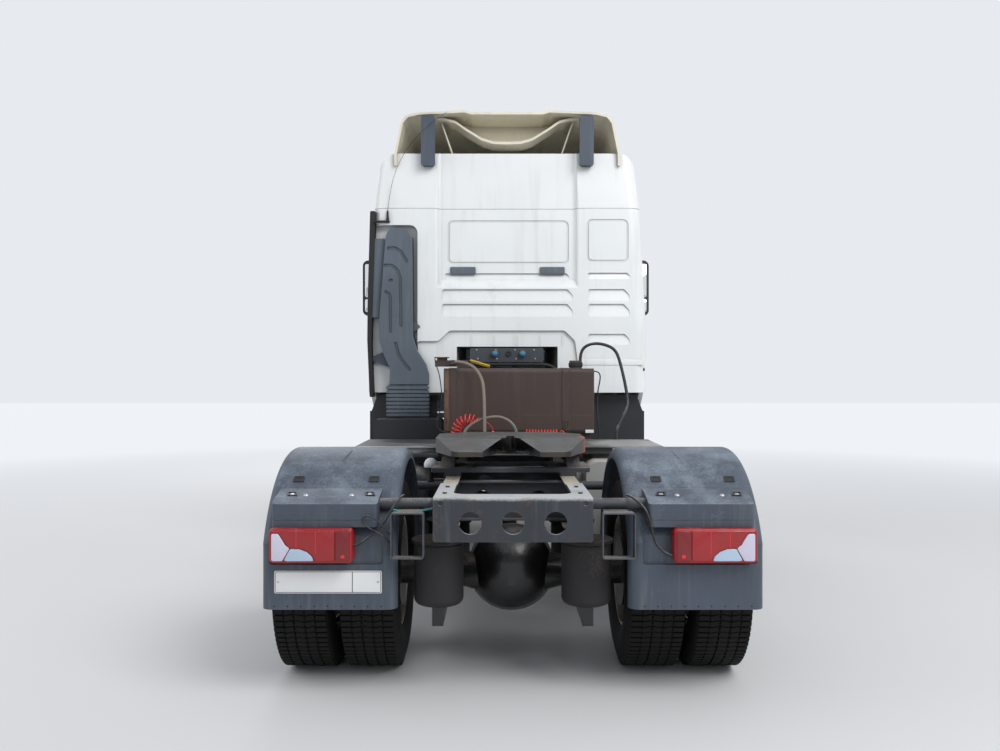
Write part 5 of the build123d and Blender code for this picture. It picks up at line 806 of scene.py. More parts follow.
def grown(name, tree, finish, values):
    carrier = bpy.data.objects.new(name + "_carrier", bpy.data.meshes.new(name + "_carrier"))
    scene.collection.objects.link(carrier)
    modifier = carrier.modifiers.new("tree", "NODES")
    modifier.node_group = tree
    wanted = values | {"Finish": finishes[finish]}
    for item in tree.interface.items_tree:
        if item.in_out == "INPUT" and item.name in wanted:
            modifier[item.identifier] = wanted[item.name]
    graph = bpy.context.evaluated_depsgraph_get()
    mesh = bpy.data.meshes.new_from_object(carrier.evaluated_get(graph))
    bpy.data.objects.remove(carrier)
    return mesh


def grow_piece(name, tree, finish, body, values):
    return show_piece(name, grown(name, tree, finish, values), finish, body)


def turned_to(direction):
    return tuple(Vector(direction).to_track_quat("Z", "Y").to_euler())


# %% Tree parts: a bolt, a row and a ring
def bolt_shape(tree, given):
    def times(name, factor):
        return calculate(tree, "MULTIPLY", given[name], factor)

    hexagon = geo(tree, "MeshCylinder", {"Vertices": 6, "Radius": given["Head"], "Depth": given["Height"]})
    lift = node(tree, "CombineXYZ", {"Z": times("Height", 0.5)}).outputs[0]
    head = geo(tree, "Transform", {"Geometry": hexagon.outputs["Mesh"], "Translation": lift})
    washer = geo(tree, "MeshCylinder", {"Vertices": 14, "Radius": times("Head", 1.35),
                                        "Depth": times("Height", 0.3)})
    stud = geo(tree, "MeshCone", {"Vertices": 8, "Radius Bottom": times("Head", 0.55),
                                  "Radius Top": times("Head", 0.42), "Depth": times("Height", 1.45)})
    join = geo(tree, "JoinGeometry")
    for part in (stud.outputs["Mesh"], washer.outputs["Mesh"], head.outputs[0]):
        tree.links.new(part, join.inputs[0])
    return join.outputs[0]


def in_a_row(tree, given, shape):
    line = geo(tree, "MeshLine", {"Count": given["Count"], "Start Location": given["Start"],
                                  "Offset": given["Step"]})
    return geo(tree, "InstanceOnPoints", {"Points": line.outputs[0], "Instance": shape,
                                          "Rotation": given["Turn"]}).outputs[0]


def in_a_ring(tree, given, shape, turn, around):
    circle = geo(tree, "MeshCircle", {"Vertices": given["Count"], "Radius": given["Radius"]})
    ring = geo(tree, "InstanceOnPoints", {"Points": circle.outputs[0], "Instance": shape, "Rotation": turn})
    return geo(tree, "Transform", {"Geometry": ring.outputs[0], "Rotation": around,
                                   "Translation": given["Centre"]}).outputs[0]


# %% Trees for bolts and bars
ORIGIN = (0.0, 0.0, 0.0)
BOLT_SIZES = {"Head": 0.012, "Height": 0.012}
ring_tree, given, out = geometry_tree("ring of bolts", Count=10, Radius=0.16, Turn=ORIGIN, Centre=ORIGIN,
                                      **BOLT_SIZES)
bolts = in_a_ring(ring_tree, given, bolt_shape(ring_tree, given), ORIGIN, given["Turn"])
close_tree(ring_tree, given, out, bolts)

row_tree, given, out = geometry_tree("row of bolts", Count=4, Start=ORIGIN, Step=(0.1, 0.0, 0.0), Turn=ORIGIN,
                                     **BOLT_SIZES)
close_tree(row_tree, given, out, in_a_row(row_tree, given, bolt_shape(row_tree, given)))

bar_tree, given, out = geometry_tree("row of bars", Count=4, Start=ORIGIN, Step=(0.1, 0.0, 0.0),
                                     Size=(0.1, 0.1, 0.1), Turn=ORIGIN)
bar = geo(bar_tree, "MeshCube", {"Size": given["Size"]}).outputs[0]
close_tree(bar_tree, given, out, in_a_row(bar_tree, given, bar))
print("geometry trees", len([tree for tree in bpy.data.node_groups if tree.type == "GEOMETRY"]))

# %% [markdown]
# A truck tyre's tread is five ribs of blocks with thin cuts between them, and the shoulder ribs show
# as a saw-tooth edge from behind. One ring of blocks is one setting of a tree: how many, how wide,
# how far across and at what skew. The carcass under the blocks is one profile turned round the axle.

# %% Tree: a ring of tread blocks
tread_tree, given, out = geometry_tree("ring of tread blocks", Count=96, Radius=0.5, Centre=ORIGIN, Skew=0.2,
                                       Block=(0.012, 0.026, 0.05))
share = calculate(tread_tree, "DIVIDE", geo(tread_tree, "InputIndex").outputs[0], given["Count"])
angle = calculate(tread_tree, "MULTIPLY", share, math.tau)
turn = node(tread_tree, "CombineXYZ", {"X": given["Skew"], "Z": angle})
block = geo(tread_tree, "MeshCube", {"Size": given["Block"]}).outputs[0]
blocks = in_a_ring(tread_tree, given, block, turn.outputs[0], (0, math.pi / 2, 0))
close_tree(tread_tree, given, out, blocks)

# %% Tyres
TYRE_RADIUS = 0.507
TYRE_HALF = 0.156
TREAD_DEPTH = 0.011
RIBS = [  # centre across, width, block length, skew in degrees
    (-0.107, 0.050, 0.0235, 0), (-0.0535, 0.044, 0.0275, 14), (0.0, 0.046, 0.0285, -12),
    (0.0535, 0.044, 0.0275, 14), (0.107, 0.050, 0.0235, 0),
]
SIDE = [  # across, radius
    (0.118, 0.297), (0.130, 0.302), (0.139, 0.322), (0.146, 0.335), (0.1535, 0.372), (0.1555, 0.402),
    (0.152, 0.436), (0.149, 0.442), (0.1455, 0.462), (0.1395, 0.478), (0.134, 0.4895), (0.126, 0.4965),
]


def carcass(x, axle):
    half = [(r, w) for w, r in SIDE]
    loop = half + [(r, -w) for r, w in reversed(half)] + [(0.292, -0.108), (0.292, 0.108)]
    return placed(turned(loop, 96, closed=True), (x, axle.y, axle.z), ((0, 0, 1), (0, 1, 0), (1, 0, 0)))


def place_tyres(node_name, body, centres):
    low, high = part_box(node_name)
    axle = (Vector(low) + Vector(high)) / 2
    pieces = [add_piece(node_name + "_carcass", [carcass(x, axle) for x in centres], "tyre",
                        body, 40)]
    work = bmesh.new()
    for x in centres:
        for across, width, length, skew in RIBS:
            mesh = grown("tread", tread_tree, "tyre", {
                "Count": 92, "Radius": TYRE_RADIUS - TREAD_DEPTH / 2 - 0.0006, "Skew": math.radians(skew),
                "Block": (TREAD_DEPTH, length, width), "Centre": (x + across, axle.y, axle.z)})
            work.from_mesh(mesh)
            bpy.data.meshes.remove(mesh)
    mesh = bpy.data.meshes.new(node_name + "_tread")
    work.to_mesh(mesh)
    work.free()
    pieces.append(show_piece(node_name + "_tread", mesh, "tyre", body, 20))
    for piece in pieces:
        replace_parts(piece, node_name)


for place in ("front_left", "front_right", "rear_left", "rear_right"):
    low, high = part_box("tyre_" + place)
    centres = [(low[0] + high[0]) / 2]
    if high[0] - low[0] > 0.5:
        centres = [low[0] + TYRE_HALF + 0.002, high[0] - TYRE_HALF - 0.002]
    place_tyres("tyre_" + place, "wheel_" + place, centres)
    print("tyre", place, "at x", [round(x, 3) for x in centres])

# %% [markdown]
# Ten nuts hold each wheel, on studs that stand out of them. The front hub closes with a turned cap,
# and the driven rear hub with the axle shaft's flange, which has its own ring of smaller bolts.

# %% Wheel nuts and hubs
NUTS = {"Count": 10, "Radius": 0.1675, "Head": 0.0165, "Height": 0.024}
SHAFT_BOLTS = {"Count": 10, "Radius": 0.078, "Head": 0.0095, "Height": 0.011}
HUB_CAP = [(0.0, 0.062), (0.055, 0.062), (0.078, 0.054), (0.086, 0.040), (0.086, 0.004), (0.098, 0.0)]
SHAFT_FLANGE = [(0.0, 0.030), (0.040, 0.030), (0.046, 0.022), (0.100, 0.020), (0.112, 0.012), (0.112, 0.0)]
FLANGE_FACE = 0.020
for end, disc, cap in (("front", 0.066, HUB_CAP), ("rear", 0.150, SHAFT_FLANGE)):
    for side, sign in SIDES:
        body = f"wheel_{end}_{side}"
        low, high = (Vector(corner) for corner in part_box(f"rim_{end}_{side}"))
        axle = (low + high) / 2
        face = (high.x if sign > 0 else low.x) - sign * disc
        turn = turned_to((sign, 0, 0))
        grow_piece(f"wheel_nuts_{end}_{side}", ring_tree, "steel bolt", body,
                   NUTS | {"Turn": turn, "Centre": (face, axle.y, axle.z)})
        hub = placed(turned(cap, 40), (face, axle.y, axle.z), ((0, sign, 0), (0, 0, 1), (sign, 0, 0)))
        add_piece(f"hub_cap_{end}_{side}", [hub], "rim", body)
        if end == "rear":
            grow_piece(f"shaft_bolts_{side}", ring_tree, "steel bolt", body,
                       SHAFT_BOLTS | {"Turn": turn, "Centre": (face + sign * FLANGE_FACE, axle.y, axle.z)})
        print(body, "face at", round(face, 3))

# %% [markdown]
# Each tail lamp is one moulded lens with four chambers: a pale lilac reversing chamber at the outer
# end that sweeps down and inwards, a light blue quarter of an oval under it, the red middle, and a
# deeper red strip at the inner end. Every chamber is its own slab with a soft edge, so that the
# joints between them are real grooves. The outlines are drawn as shares of the lamp's width and
# height, from the outer end inwards, which lets one drawing serve both lamps.

# %% Tail lamps
LAMP_LOW, LAMP_HIGH = (Vector(corner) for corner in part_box("tail_lamps"))
LAMP_INNER = 0.771
LENS_FACE = LAMP_HIGH.y - 0.0008
MARK_LIFT = 0.0004
CHAMBERS = {
    "lilac lens": [(0.035, 0.86), (0.115, 0.86), (0.165, 0.68), (0.20, 0.53), (0.255, 0.435), (0.165, 0.065),
                   (0.035, 0.065)],
    "blue lens": [(0.262, 0.425), (0.37, 0.415), (0.46, 0.33), (0.52, 0.20), (0.545, 0.065), (0.178, 0.065)],
    "red lens": [(0.035, 0.945), (0.79, 0.945), (0.79, 0.065), (0.56, 0.065), (0.535, 0.205),
                 (0.47, 0.345), (0.375, 0.435), (0.262, 0.447), (0.212, 0.54), (0.178, 0.69),
                 (0.128, 0.872), (0.035, 0.872)],
    "deep red lens": [(0.802, 0.945), (0.972, 0.945), (0.972, 0.065), (0.802, 0.065)],
}
for side, sign in SIDES:
    outer = sign * LAMP_HIGH.x
    width = -sign * (LAMP_HIGH.x - LAMP_INNER)
    height = LAMP_HIGH.z - LAMP_LOW.z
    x0, x1 = sorted((outer, sign * LAMP_INNER))
    case = slab(oblong(x0, x1, LAMP_LOW.z, LAMP_HIGH.z, 0.022, 6), LAMP_LOW.y, LAMP_HIGH.y - 0.006, 0.012, 4)
    pieces = [(f"tail_lamp_case_{side}", [on_rear(case)], "lamp rim")]
    for finish, drawing in CHAMBERS.items():
        points = [(outer + width * u, LAMP_LOW.z + height * v) for u, v in drawing]
        lens = slab(rounded(points, 0.010, 3), LAMP_HIGH.y - 0.012, LENS_FACE, 0.004, 3)
        pieces.append((f"tail_{finish.replace(' ', '_')}_{side}", [on_rear(lens)], finish))
    reflector = slab(oblong(-0.009, 0.009, -0.008, 0.008, 0.006), -0.002, MARK_LIFT)
    marks = [on_rear(reflector, LENS_FACE, outer + width * 0.89, LAMP_LOW.z + height * 0.2)]
    for u, low in ((0.335, 0.40), (0.565, 0.28)):
        line = slab(oblong(-0.0012, 0.0012, low * height, 0.93 * height, 0.001, 1), 0, MARK_LIFT)
        marks.append(on_rear(line, LENS_FACE, outer + width * u, LAMP_LOW.z))
    pieces.append((f"tail_reflector_{side}", marks, "bright red"))
    for name, shapes, finish in pieces:
        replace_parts(add_piece(name, shapes, finish, "chassis"), "tail_lamps")
print("tail lamp chambers", len(CHAMBERS))

# %% [markdown]
# The mudguards carry small hardware. Two snap clips join each rear panel to the arch: a ribbed pocket
# above the seam, and a framed latch below it on the sloping shelf. Dome bolts beside them hold the
# panel to its tube, a blank plate sits on the left panel, and a row of holes runs along each foot.

# %% Clips on the mudguards
AXLE = (Vector(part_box("rim_rear_left")[0]) + Vector(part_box("rim_rear_left")[1])) / 2
GUARD_RADIUS = 0.681
POCKET_ANGLE = 36.2


def on_arch(angle):
    turn = math.radians(angle)
    out = Vector((0, math.sin(turn), math.cos(turn)))
    return out * GUARD_RADIUS + Vector((0, AXLE.y, AXLE.z)), Vector((0, -math.cos(turn), math.sin(turn))), out


ON_SHELF = [Vector(way).normalized() for way in ((1, 0, 0), (0, -0.141, 0.027), (0, 0.027, 0.141))]
SHELF_AT = Vector((0, AXLE.y + 0.545, 0.9990))
CLIP_X = [(1.090, 0.014), (0.706, 0.014), (-0.733, -0.014), (-1.108, -0.014)]
pockets = []
latches = []
tongues = []
for x, lean in CLIP_X:
    place, up, out = on_arch(POCKET_ANGLE)
    place = place + Vector((x, 0, 0)) - out * 0.001
    parts = [framed(0.052, 0.040, 0.004, 0.005), slab(oblong(-0.025, 0.025, -0.019, 0.019, 0.003), 0, 0.0015)]
    for step in range(4):
        left = -0.021 + 0.012 * step
        parts.append(slab(oblong(left, left + 0.006, -0.016, 0.016, 0.001, 1), 0, 0.004))
    pockets.extend(placed(part, place, ((1, 0, 0), up, out)) for part in parts)
    place = SHELF_AT + Vector((x, 0, 0))
    latches.append(placed(framed(0.046, 0.052, 0.006, 0.006, lean / 2), place, ON_SHELF))
    latches.append(placed(slab(oblong(-0.020, 0.020, -0.022, 0.022, 0.003), -0.001, 0.0012), place, ON_SHELF))
    tongue = slab(oblong(-0.010, 0.010, -0.016, 0.010, 0.003), 0.001, 0.005, 0.001)
    tongues.append(placed(tongue, place, ON_SHELF))
dark_piece("clip_pockets", pockets, "black plastic")
dark_piece("clip_latches", latches, "black plastic")
add_piece("clip_tongues", tongues, "galvanised", "chassis")

# %% Dome bolts, arch embosses and foot holes
DOME = [(0.0, 0.007), (0.006, 0.0062), (0.011, 0.0035), (0.013, 0.0), (0.018, -0.0003), (0.018, -0.002)]
domes = [placed(turned(DOME, 20), SHELF_AT + Vector((x, 0.012, -0.0023)), ON_SHELF)
         for x in (1.020, 0.794, -0.811, -1.033)]
add_piece("panel_bolts", domes, "galvanised", "chassis")

EMBOSS_STEPS = 14
embosses = []
for sign in (1, -1):
    ridge = []
    for step in range(EMBOSS_STEPS + 1):
        share = step / EMBOSS_STEPS
        x = sign * (0.872 + 0.048 * share ** 1.6)
        place, up, out = on_arch(8 + 22 * share)
        swell = 0.004 * math.sin(math.pi * min(1, share * 1.15 + 0.05)) + 0.0006
        for across, high in ((-0.013, -0.001), (-0.006, swell), (0.004, swell), (0.010, -0.001)):
            ridge.append(tuple(place + Vector((x + across * sign, 0, 0)) + out * high))
    embosses.append((ridge, list(grid_faces(EMBOSS_STEPS + 1, 4, round_count=False))))
add_piece("arch_embosses", embosses, "dusty plastic with sky sheen", "chassis", 80)

PANEL_Y = AXLE.y + 0.6269
# The foot holes are thin black boxes: painted shade inside the holes.
for side, start in (("left", 0.640), ("right", -1.160)):
    grow_piece(f"foot_holes_{side}", bar_tree, "shade and line black", "chassis", {
        "Count": 9, "Start": (start, PANEL_Y, 0.4665), "Step": (0.065, 0, 0), "Size": (0.006, 0.0012, 0.006)})

# %% Blank plate
plate = slab(oblong(0.637, 1.159, 0.530, 0.640, 0.008), PANEL_Y - 0.0005, PANEL_Y + 0.003, 0.001)
add_piece("blank_plate", [on_rear(plate)], "plate white", "chassis")
edging = framed(0.514, 0.102, 0.0022, 0.0006)
divider = slab(oblong(-0.120, -0.117, -0.050, 0.050, 0.0005, 1), 0, 0.0006)
screw = turned([(0, 0.0022), (0.004, 0.0018), (0.0055, 0.0)], 14)
lines = [on_rear(shape, PANEL_Y + 0.003, 0.898, 0.585) for shape in (edging, divider)]
dark_piece("plate_lines", lines, "shade and line black")
screws = [on_rear(screw, PANEL_Y + 0.003, x, 0.585) for x in (0.655, 1.141)]
add_piece("plate_screws", screws, "galvanised", "chassis")
print("guard hardware on", len(CLIP_X), "clips")

# %% [markdown]
# Small fittings have to sit on the panels behind them, which are curved and stepped. A ray shot at
# the CAD piece from outside finds its surface, so that every buffer, rib and seal lands on it.


# %% Finding a surface
def surface(names, start, direction):
    nearest = None
    for name in names:
        found, place, _, _ = nodes[name].ray_cast(Vector(start), Vector(direction))
        if found and (nearest is None or (place - Vector(start)).length < (nearest - Vector(start)).length):
            nearest = place
    return nearest


def wall_y(x, z):
    return surface(["cab_rear_wall"], (x, 0.2, z), (0, -1, 0)).y


print("rear wall at", round(wall_y(0.38, 2.49), 4), round(wall_y(0.2, 1.88), 4))

# %% Fittings on the rear wall
buffers = []
for x0, x1 in ((0.276, 0.498), (-0.502, -0.284)):
    buffer = slab(oblong(x0, x1, 2.460, 2.526, 0.012, 4), 0, 0.015, 0.006, 4)
    buffers.append(on_rear(buffer, wall_y((x0 + x1) / 2, 2.49)))
dark_piece("wall_buffers", buffers, "snorkel plastic", "cab")
grow_piece("arch_ribs", bar_tree, "cab white", "cab", {
    "Count": 5, "Start": (0.315, wall_y(0.2, 1.88), 1.880), "Step": (-0.199, 0, 0),
    "Size": (0.007, 0.010, 0.086)})
ledge = on_rear(slab(oblong(-1.190, -0.640, 1.668, 1.718, 0.01), -0.004, 0.005, 0.003, 3), wall_y(-0.9, 1.69))
add_piece("wall_ledge", [ledge], "cab white", "cab")
PLUG = [(0, 0.002), (0.009, 0.001), (0.012, 0.003), (0.015, 0.0), (0.015, -0.004)]
plug = on_rear(turned(PLUG, 20), wall_y(-1.188, 1.631), -1.188, 1.631)
dark_piece("wall_plug", [plug], "black rubber", "cab")
EDGE = [(1.145, 3.009), (1.193, 3.009), (1.2145, 2.235), (1.218, 1.887), (1.197, 1.391), (1.163, 1.391),
        (1.180, 1.843), (1.171, 2.235)]
edge_seal = on_rear(slab(rounded(EDGE, 0.01, 3), -0.700, -0.583, 0.006, 3))
dark_piece("cab_edge_seal", [edge_seal], "black rubber", "cab")

# %% Antenna
ANTENNA_X = 1.038
STEM = [(0, 0.082), (0.006, 0.080), (0.0085, 0.060), (0.010, 0.02), (0.013, 0.0), (0.013, -0.012),
        (0, -0.012)]
WHIP = [(ANTENNA_X, -0.5715, 3.005), (1.020, -0.565, 3.150), (0.975, -0.545, 3.330), (0.900, -0.52, 3.480),
        (0.790, -0.490, 3.620), (0.640, -0.470, 3.755), (0.520, -0.46, 3.830)]
antenna_y = wall_y(ANTENNA_X, 2.95)
stem = placed(turned(STEM, 20), (ANTENNA_X, antenna_y + 0.016, 2.930))
holder = on_rear(slab(oblong(1.020, 1.150, 2.906, 2.922, 0.006), -0.002, 0.030, 0.003), antenna_y)
dark_piece("antenna_base", [stem, holder], "black rubber", "cab")
curve_piece("antenna_whip", WHIP, 0.0035, "black rubber", "cab")

# %% [markdown]
# The coupling panel holds two air couplings with blue caps and a black socket between them, all
# turned shapes on one line, and a black pipe runs along under it.

# %% Fittings on the coupling panel
PANEL_FACE = surface(["coupling_panel"], (0.20, 0.2, 1.75), (0, -1, 0)).y
CAP_FACE = -0.3875
COUPLING_Z = 1.765
CAP = [(0, 0.016), (0.012, 0.016), (0.019, 0.012), (0.022, 0.008), (0.022, 0.0), (0.029, -0.002),
       (0.029, -0.012)]
SOCKET = [(0, 0.006), (0.014, 0.006), (0.016, 0.014), (0.021, 0.014), (0.024, 0.0), (0.024, -0.002)]
caps = [on_rear(turned(CAP, 28), CAP_FACE, x, COUPLING_Z) for x in (-0.129, 0.106)]
dark_piece("coupling_caps", caps, "coupling blue")
dark_piece("trailer_socket", [on_rear(turned(SOCKET, 28), PANEL_FACE, -0.010, COUPLING_Z)], "black plastic")
for row, z in enumerate((1.797, 1.722)):
    grow_piece(f"panel_bolts_{row}", row_tree, "galvanised", "chassis", {
        "Count": 4, "Start": (0.262 - 0.01 * row, PANEL_FACE, z), "Step": (-0.163, 0, 0), "Head": 0.0052,
        "Height": 0.006, "Turn": turned_to((0, 1, 0))})
PIPE = [(0.316, -0.436, 1.700), (0.320, -0.410, 1.690), (0.300, -0.398, 1.674), (0.20, -0.396, 1.671),
        (-0.26, -0.396, 1.673), (-0.350, -0.396, 1.668), (-0.400, -0.396, 1.640), (-0.412, -0.396, 1.580),
        (-0.412, -0.396, 1.450)]
curve_piece("panel_pipe", PIPE, 0.028, "black rubber", "chassis")

# %% Fittings on the rear tank
TANK_LOW, TANK_HIGH = (Vector(corner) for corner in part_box("rear_tank"))
TANK_FACE = surface(["rear_tank"], (0, 1.0, 1.4), (0, -1, 0)).y
STRAP_FACE = surface(["tank_cradle"], (-0.45, 1.0, 1.3), (0, -1, 0)).y
COLLAR = [(0.046, 0.0), (0.053, 0.002), (0.056, 0.006), (0.056, 0.030), (0.052, 0.036), (0.030, 0.038),
          (0.026, 0.044), (0.016, 0.045), (0.016, 0.030)]
seam = slab(oblong(TANK_LOW.x + 0.012, -0.010, 1.2715, 1.2755, 0.001, 1), 0, 0.0015)
# The lighter strip down the tank's outer end is a painted highlight, where light falls on the rounded corner;
# the seam is rust.
lit_corner_highlight = slab(oblong(0.452, TANK_HIGH.x - 0.006, 1.150, 1.622, 0.01), -0.001, 0.0035, 0.002)
patch = slab(oblong(-0.664, -0.600, 1.136, 1.160, 0.002), 0, 0.002)
for name, shape, finish, slot in (("tank_seam", seam, "seam rust and highlight", "rusty_tank"),
                                  ("tank_corner_highlight", lit_corner_highlight, "seam rust and highlight", "rusty_tank"),
                                  ("bearer_patch", patch, "plate white", "cab_paint")):
    add_piece(name, [on_rear(shape, TANK_FACE)], finish, "chassis")
tongue = slab(oblong(-0.006, 0.006, -0.030, 0.028, 0.003), 0, 0.010, 0.002)
buckle = [on_rear(part, STRAP_FACE, -0.450, 1.196) for part in (framed(0.040, 0.082, 0.008, 0.007), tongue)]
for middle in (-0.450, 0.430):
    for x in (middle - 0.026, middle + 0.026):
        strip = oblong(x - 0.002, x + 0.002, 1.150, 1.630, 0.001, 1)
        buckle.append(on_rear(slab(strip, -0.0005, 0.002), STRAP_FACE))
add_piece("strap_buckle", buckle, "rusty tank", "chassis")
dark_piece("filler_collar", [placed(turned(COLLAR, 36), (-0.535, 0.1075, 1.646))], "black rubber")

# %% White cap and coupling behind the cab
CAP_AT = (0.494, 1.597, 0.926)
DOME_CAP = [(0, 0.146), (0.018, 0.143), (0.033, 0.131), (0.042, 0.112), (0.043, 0.094), (0.040, 0.088),
            (0.0, 0.088)]
POST = [(0.0, 0.090), (0.016, 0.090), (0.016, 0.010), (0.024, 0.006), (0.024, 0.0)]
COUPLING = [(0, 0.050), (0.009, 0.050), (0.0095, 0.040), (0.014, 0.038), (0.014, 0.022), (0.0105, 0.020),
            (0.0105, 0.008), (0.013, 0.006), (0.013, -0.004), (0.007, -0.006), (0, -0.006)]
add_piece("white_cap", [placed(turned(DOME_CAP, 32), CAP_AT)], "plate white", "chassis")
dark_piece("cap_post", [placed(turned(POST, 24), CAP_AT)], "black rubber")
add_piece("coil_coupling", [placed(turned(COUPLING, 20), (0.114, 0.54, 1.118))], "galvanised", "chassis")
print("tank face at", round(TANK_FACE, 4), "strap at", round(STRAP_FACE, 4))

# %% [markdown]
# Thin leads hang about the tank and the lamps. Each is a cord with both ends in the vehicle. The
# yellow one wears a spiral guard, a helix wound round the same line as the lead itself.

# %% Thin leads
ARM_LEAD = [(0.566, 0.262, 1.722), (0.568, 0.266, 1.700), (0.552, 0.268, 1.650), (0.532, 0.268, 1.590),
            (0.519, 0.268, 1.500), (0.512, 0.268, 1.420), (0.514, 0.268, 1.350), (0.532, 0.268, 1.290),
            (0.550, 0.268, 1.230), (0.546, 0.266, 1.175), (0.512, 0.260, 1.142), (0.464, 0.248, 1.140)]
TANK_LEAD = [(-0.662, 0.200, 1.612), (-0.692, 0.200, 1.616), (-0.720, 0.200, 1.590), (-0.718, 0.200, 1.540),
             (-0.702, 0.200, 1.470), (-0.694, 0.200, 1.380), (-0.696, 0.200, 1.280), (-0.708, 0.200, 1.180),
             (-0.713, 0.200, 1.100), (-0.713, 0.200, 1.030)]
YELLOW_LEAD = [(0.312, 0.160, 1.688), (0.296, 0.150, 1.696), (0.264, 0.095, 1.690), (0.230, 0.020, 1.678),
               (0.198, -0.070, 1.667), (0.170, -0.160, 1.661), (0.148, -0.235, 1.655),
               (0.130, -0.295, 1.634), (0.110, -0.328, 1.600), (0.086, -0.348, 1.572),
               (0.058, -0.372, 1.556), (0.034, -0.404, 1.550), (0.022, -0.434, 1.548)]

# %% Lamp leads
LEFT_LEAD = [(0.778, 2.856, 0.770), (0.755, 2.862, 0.768), (0.722, 2.852, 0.790), (0.676, 2.846, 0.822),
             (0.636, 2.846, 0.858), (0.606, 2.842, 0.905), (0.582, 2.830, 0.950), (0.556, 2.800, 0.985),
             (0.540, 2.765, 1.000), (0.538, 2.735, 0.996)]
LEFT_LOOP = [(0.586, 2.850, 0.772), (0.606, 2.858, 0.802), (0.656, 2.860, 0.836), (0.704, 2.860, 0.860),
             (0.730, 2.860, 0.888), (0.714, 2.860, 0.916), (0.676, 2.860, 0.908), (0.640, 2.860, 0.880),
             (0.606, 2.858, 0.840), (0.586, 2.850, 0.812)]
TEAL_LEAD = [(0.585, 2.800, 0.935), (0.556, 2.792, 0.926), (0.520, 2.786, 0.922), (0.470, 2.784, 0.924),
             (0.420, 2.786, 0.932), (0.390, 2.800, 0.940)]
RIGHT_LEAD = [(-0.778, 2.856, 0.718), (-0.752, 2.862, 0.724), (-0.710, 2.860, 0.748),
              (-0.680, 2.856, 0.790), (-0.668, 2.852, 0.850), (-0.655, 2.846, 0.910),
              (-0.630, 2.830, 0.955), (-0.590, 2.795, 0.990), (-0.572, 2.760, 0.998),
              (-0.565, 2.735, 0.996)]

# %% Placing the leads
LEADS = [  # name, route, diameter, finish, stiffness
    ("arm_lead", ARM_LEAD, 0.008, "black hose", "limp"),
    ("tank_lead", TANK_LEAD, 0.010, "black hose", "medium"),
    ("yellow_lead", YELLOW_LEAD, 0.012, "black rubber", "medium"),
    ("lamp_lead_left", LEFT_LEAD, 0.010, "black hose", "medium"),
    ("lamp_loop_left", LEFT_LOOP, 0.007, "black hose", "limp"),
    ("teal_lead", TEAL_LEAD, 0.010, "teal sheath", "medium"),
    ("lamp_lead_right", RIGHT_LEAD, 0.012, "black hose", "medium"),
]
for lead in LEADS:
    place_cord(*lead)
GUARD_WIRE = 0.0095
guard_points = helix_points(YELLOW_LEAD[1:7], 0.010, 0.026, 17, 2)
guard = curve_piece("spiral_guard", guard_points, GUARD_WIRE, "guard yellow", "chassis")
coarser(guard, 2)

# %% [markdown]
# The front and the sides are not in the picture, so they get what such a cab has: rubber round the
# glass, wipers, grille slats, lamp bowls, handles, marker lamps and step treads. Each follows the
# panel under it, so a lath is laid across by finding the surface at every step of its line.

# %% Laths laid on curved panels
CLEAR = 3


def lath(line, profile, names, direction):
    shot = Vector(direction)
    corners = []
    for point in line:
        foot = surface(names, Vector(point) - shot * CLEAR, shot) or Vector(point)
        corners.extend(tuple(foot + Vector((0, 0, rise)) - shot * lift) for rise, lift in profile)
    count = len(profile)
    ends = [tuple(range(count))[::-1], tuple(range(len(corners) - count, len(corners)))]
    return corners, ends + list(grid_faces(len(line), count))


def landed(names, point, shot, middle):
    # a ray can slip between a pane and its frame, and then one a little nearer the middle gives the depth
    for share in (0, 0.02, -0.02, 0.05, 0.09):
        found = surface(names, point + (middle - point) * share - shot * CLEAR, shot)
        if found is not None:
            return point + shot * (found - point).dot(shot)
    raise ValueError(f"nothing under {tuple(point)}")


def frame_band(outline, width, thickness, names, direction, place_of):
    shot = Vector(direction)
    middle = sum((Vector(place_of(u, v)) for u, v in outline), Vector()) / len(outline)
    outer, inner = ([landed(names, Vector(place_of(u, v)), shot, middle) for u, v in ring]
                    for ring in (outline, shrunk(outline, width)))
    corners = []
    for feet, lift in ((outer, -0.003), (outer, thickness * 0.6), (inner, thickness), (inner, -0.003)):
        corners.extend(tuple(foot - shot * lift) for foot in feet)
    return corners, list(grid_faces(4, len(outline), True))


def finely(outline, longest=0.04):
    result = []
    for here, after in zip(outline, outline[1:] + outline[:1]):
        pieces = max(1, math.ceil((Vector(after) - Vector(here)).length / longest))
        result.extend(tuple(Vector(here).lerp(Vector(after), step / pieces)) for step in range(pieces))
    return result


# %% Grille
FORWARD = (0, 1, 0)
AHEAD = -2.9
LATH = [(-0.011, 0.0), (-0.010, 0.008), (0.006, 0.013), (0.010, 0.011), (0.011, 0.0)]
GAP = [(-0.022, -0.002), (-0.022, 0.0012), (0.022, 0.0012), (0.022, -0.002)]
TRIM = [(-0.016, 0.0), (-0.014, 0.006), (0.014, 0.006), (0.016, 0.0)]


def across_flap(reach, z, profile, steps=30):
    line = [(-reach + 2 * reach * step / steps, AHEAD, z) for step in range(steps + 1)]
    return lath(line, profile, ["front_flap"], FORWARD)


ROWS = [(0.74 - 0.018 * number, 1.30 + 0.086 * number) for number in range(6)]
# Dark strips behind the grille slats: painted shade in the gaps.
dark_piece("grille_gaps", [across_flap(reach, z, GAP) for reach, z in ROWS], "shade and line black", "front_flap")
slats = [across_flap(reach - 0.01, z, LATH) for reach, z in ROWS]
dark_piece("grille_slats", slats, "dark plastic", "front_flap")
add_piece("grille_trim", [across_flap(0.78, 1.80, TRIM)], "galvanised", "front_flap")

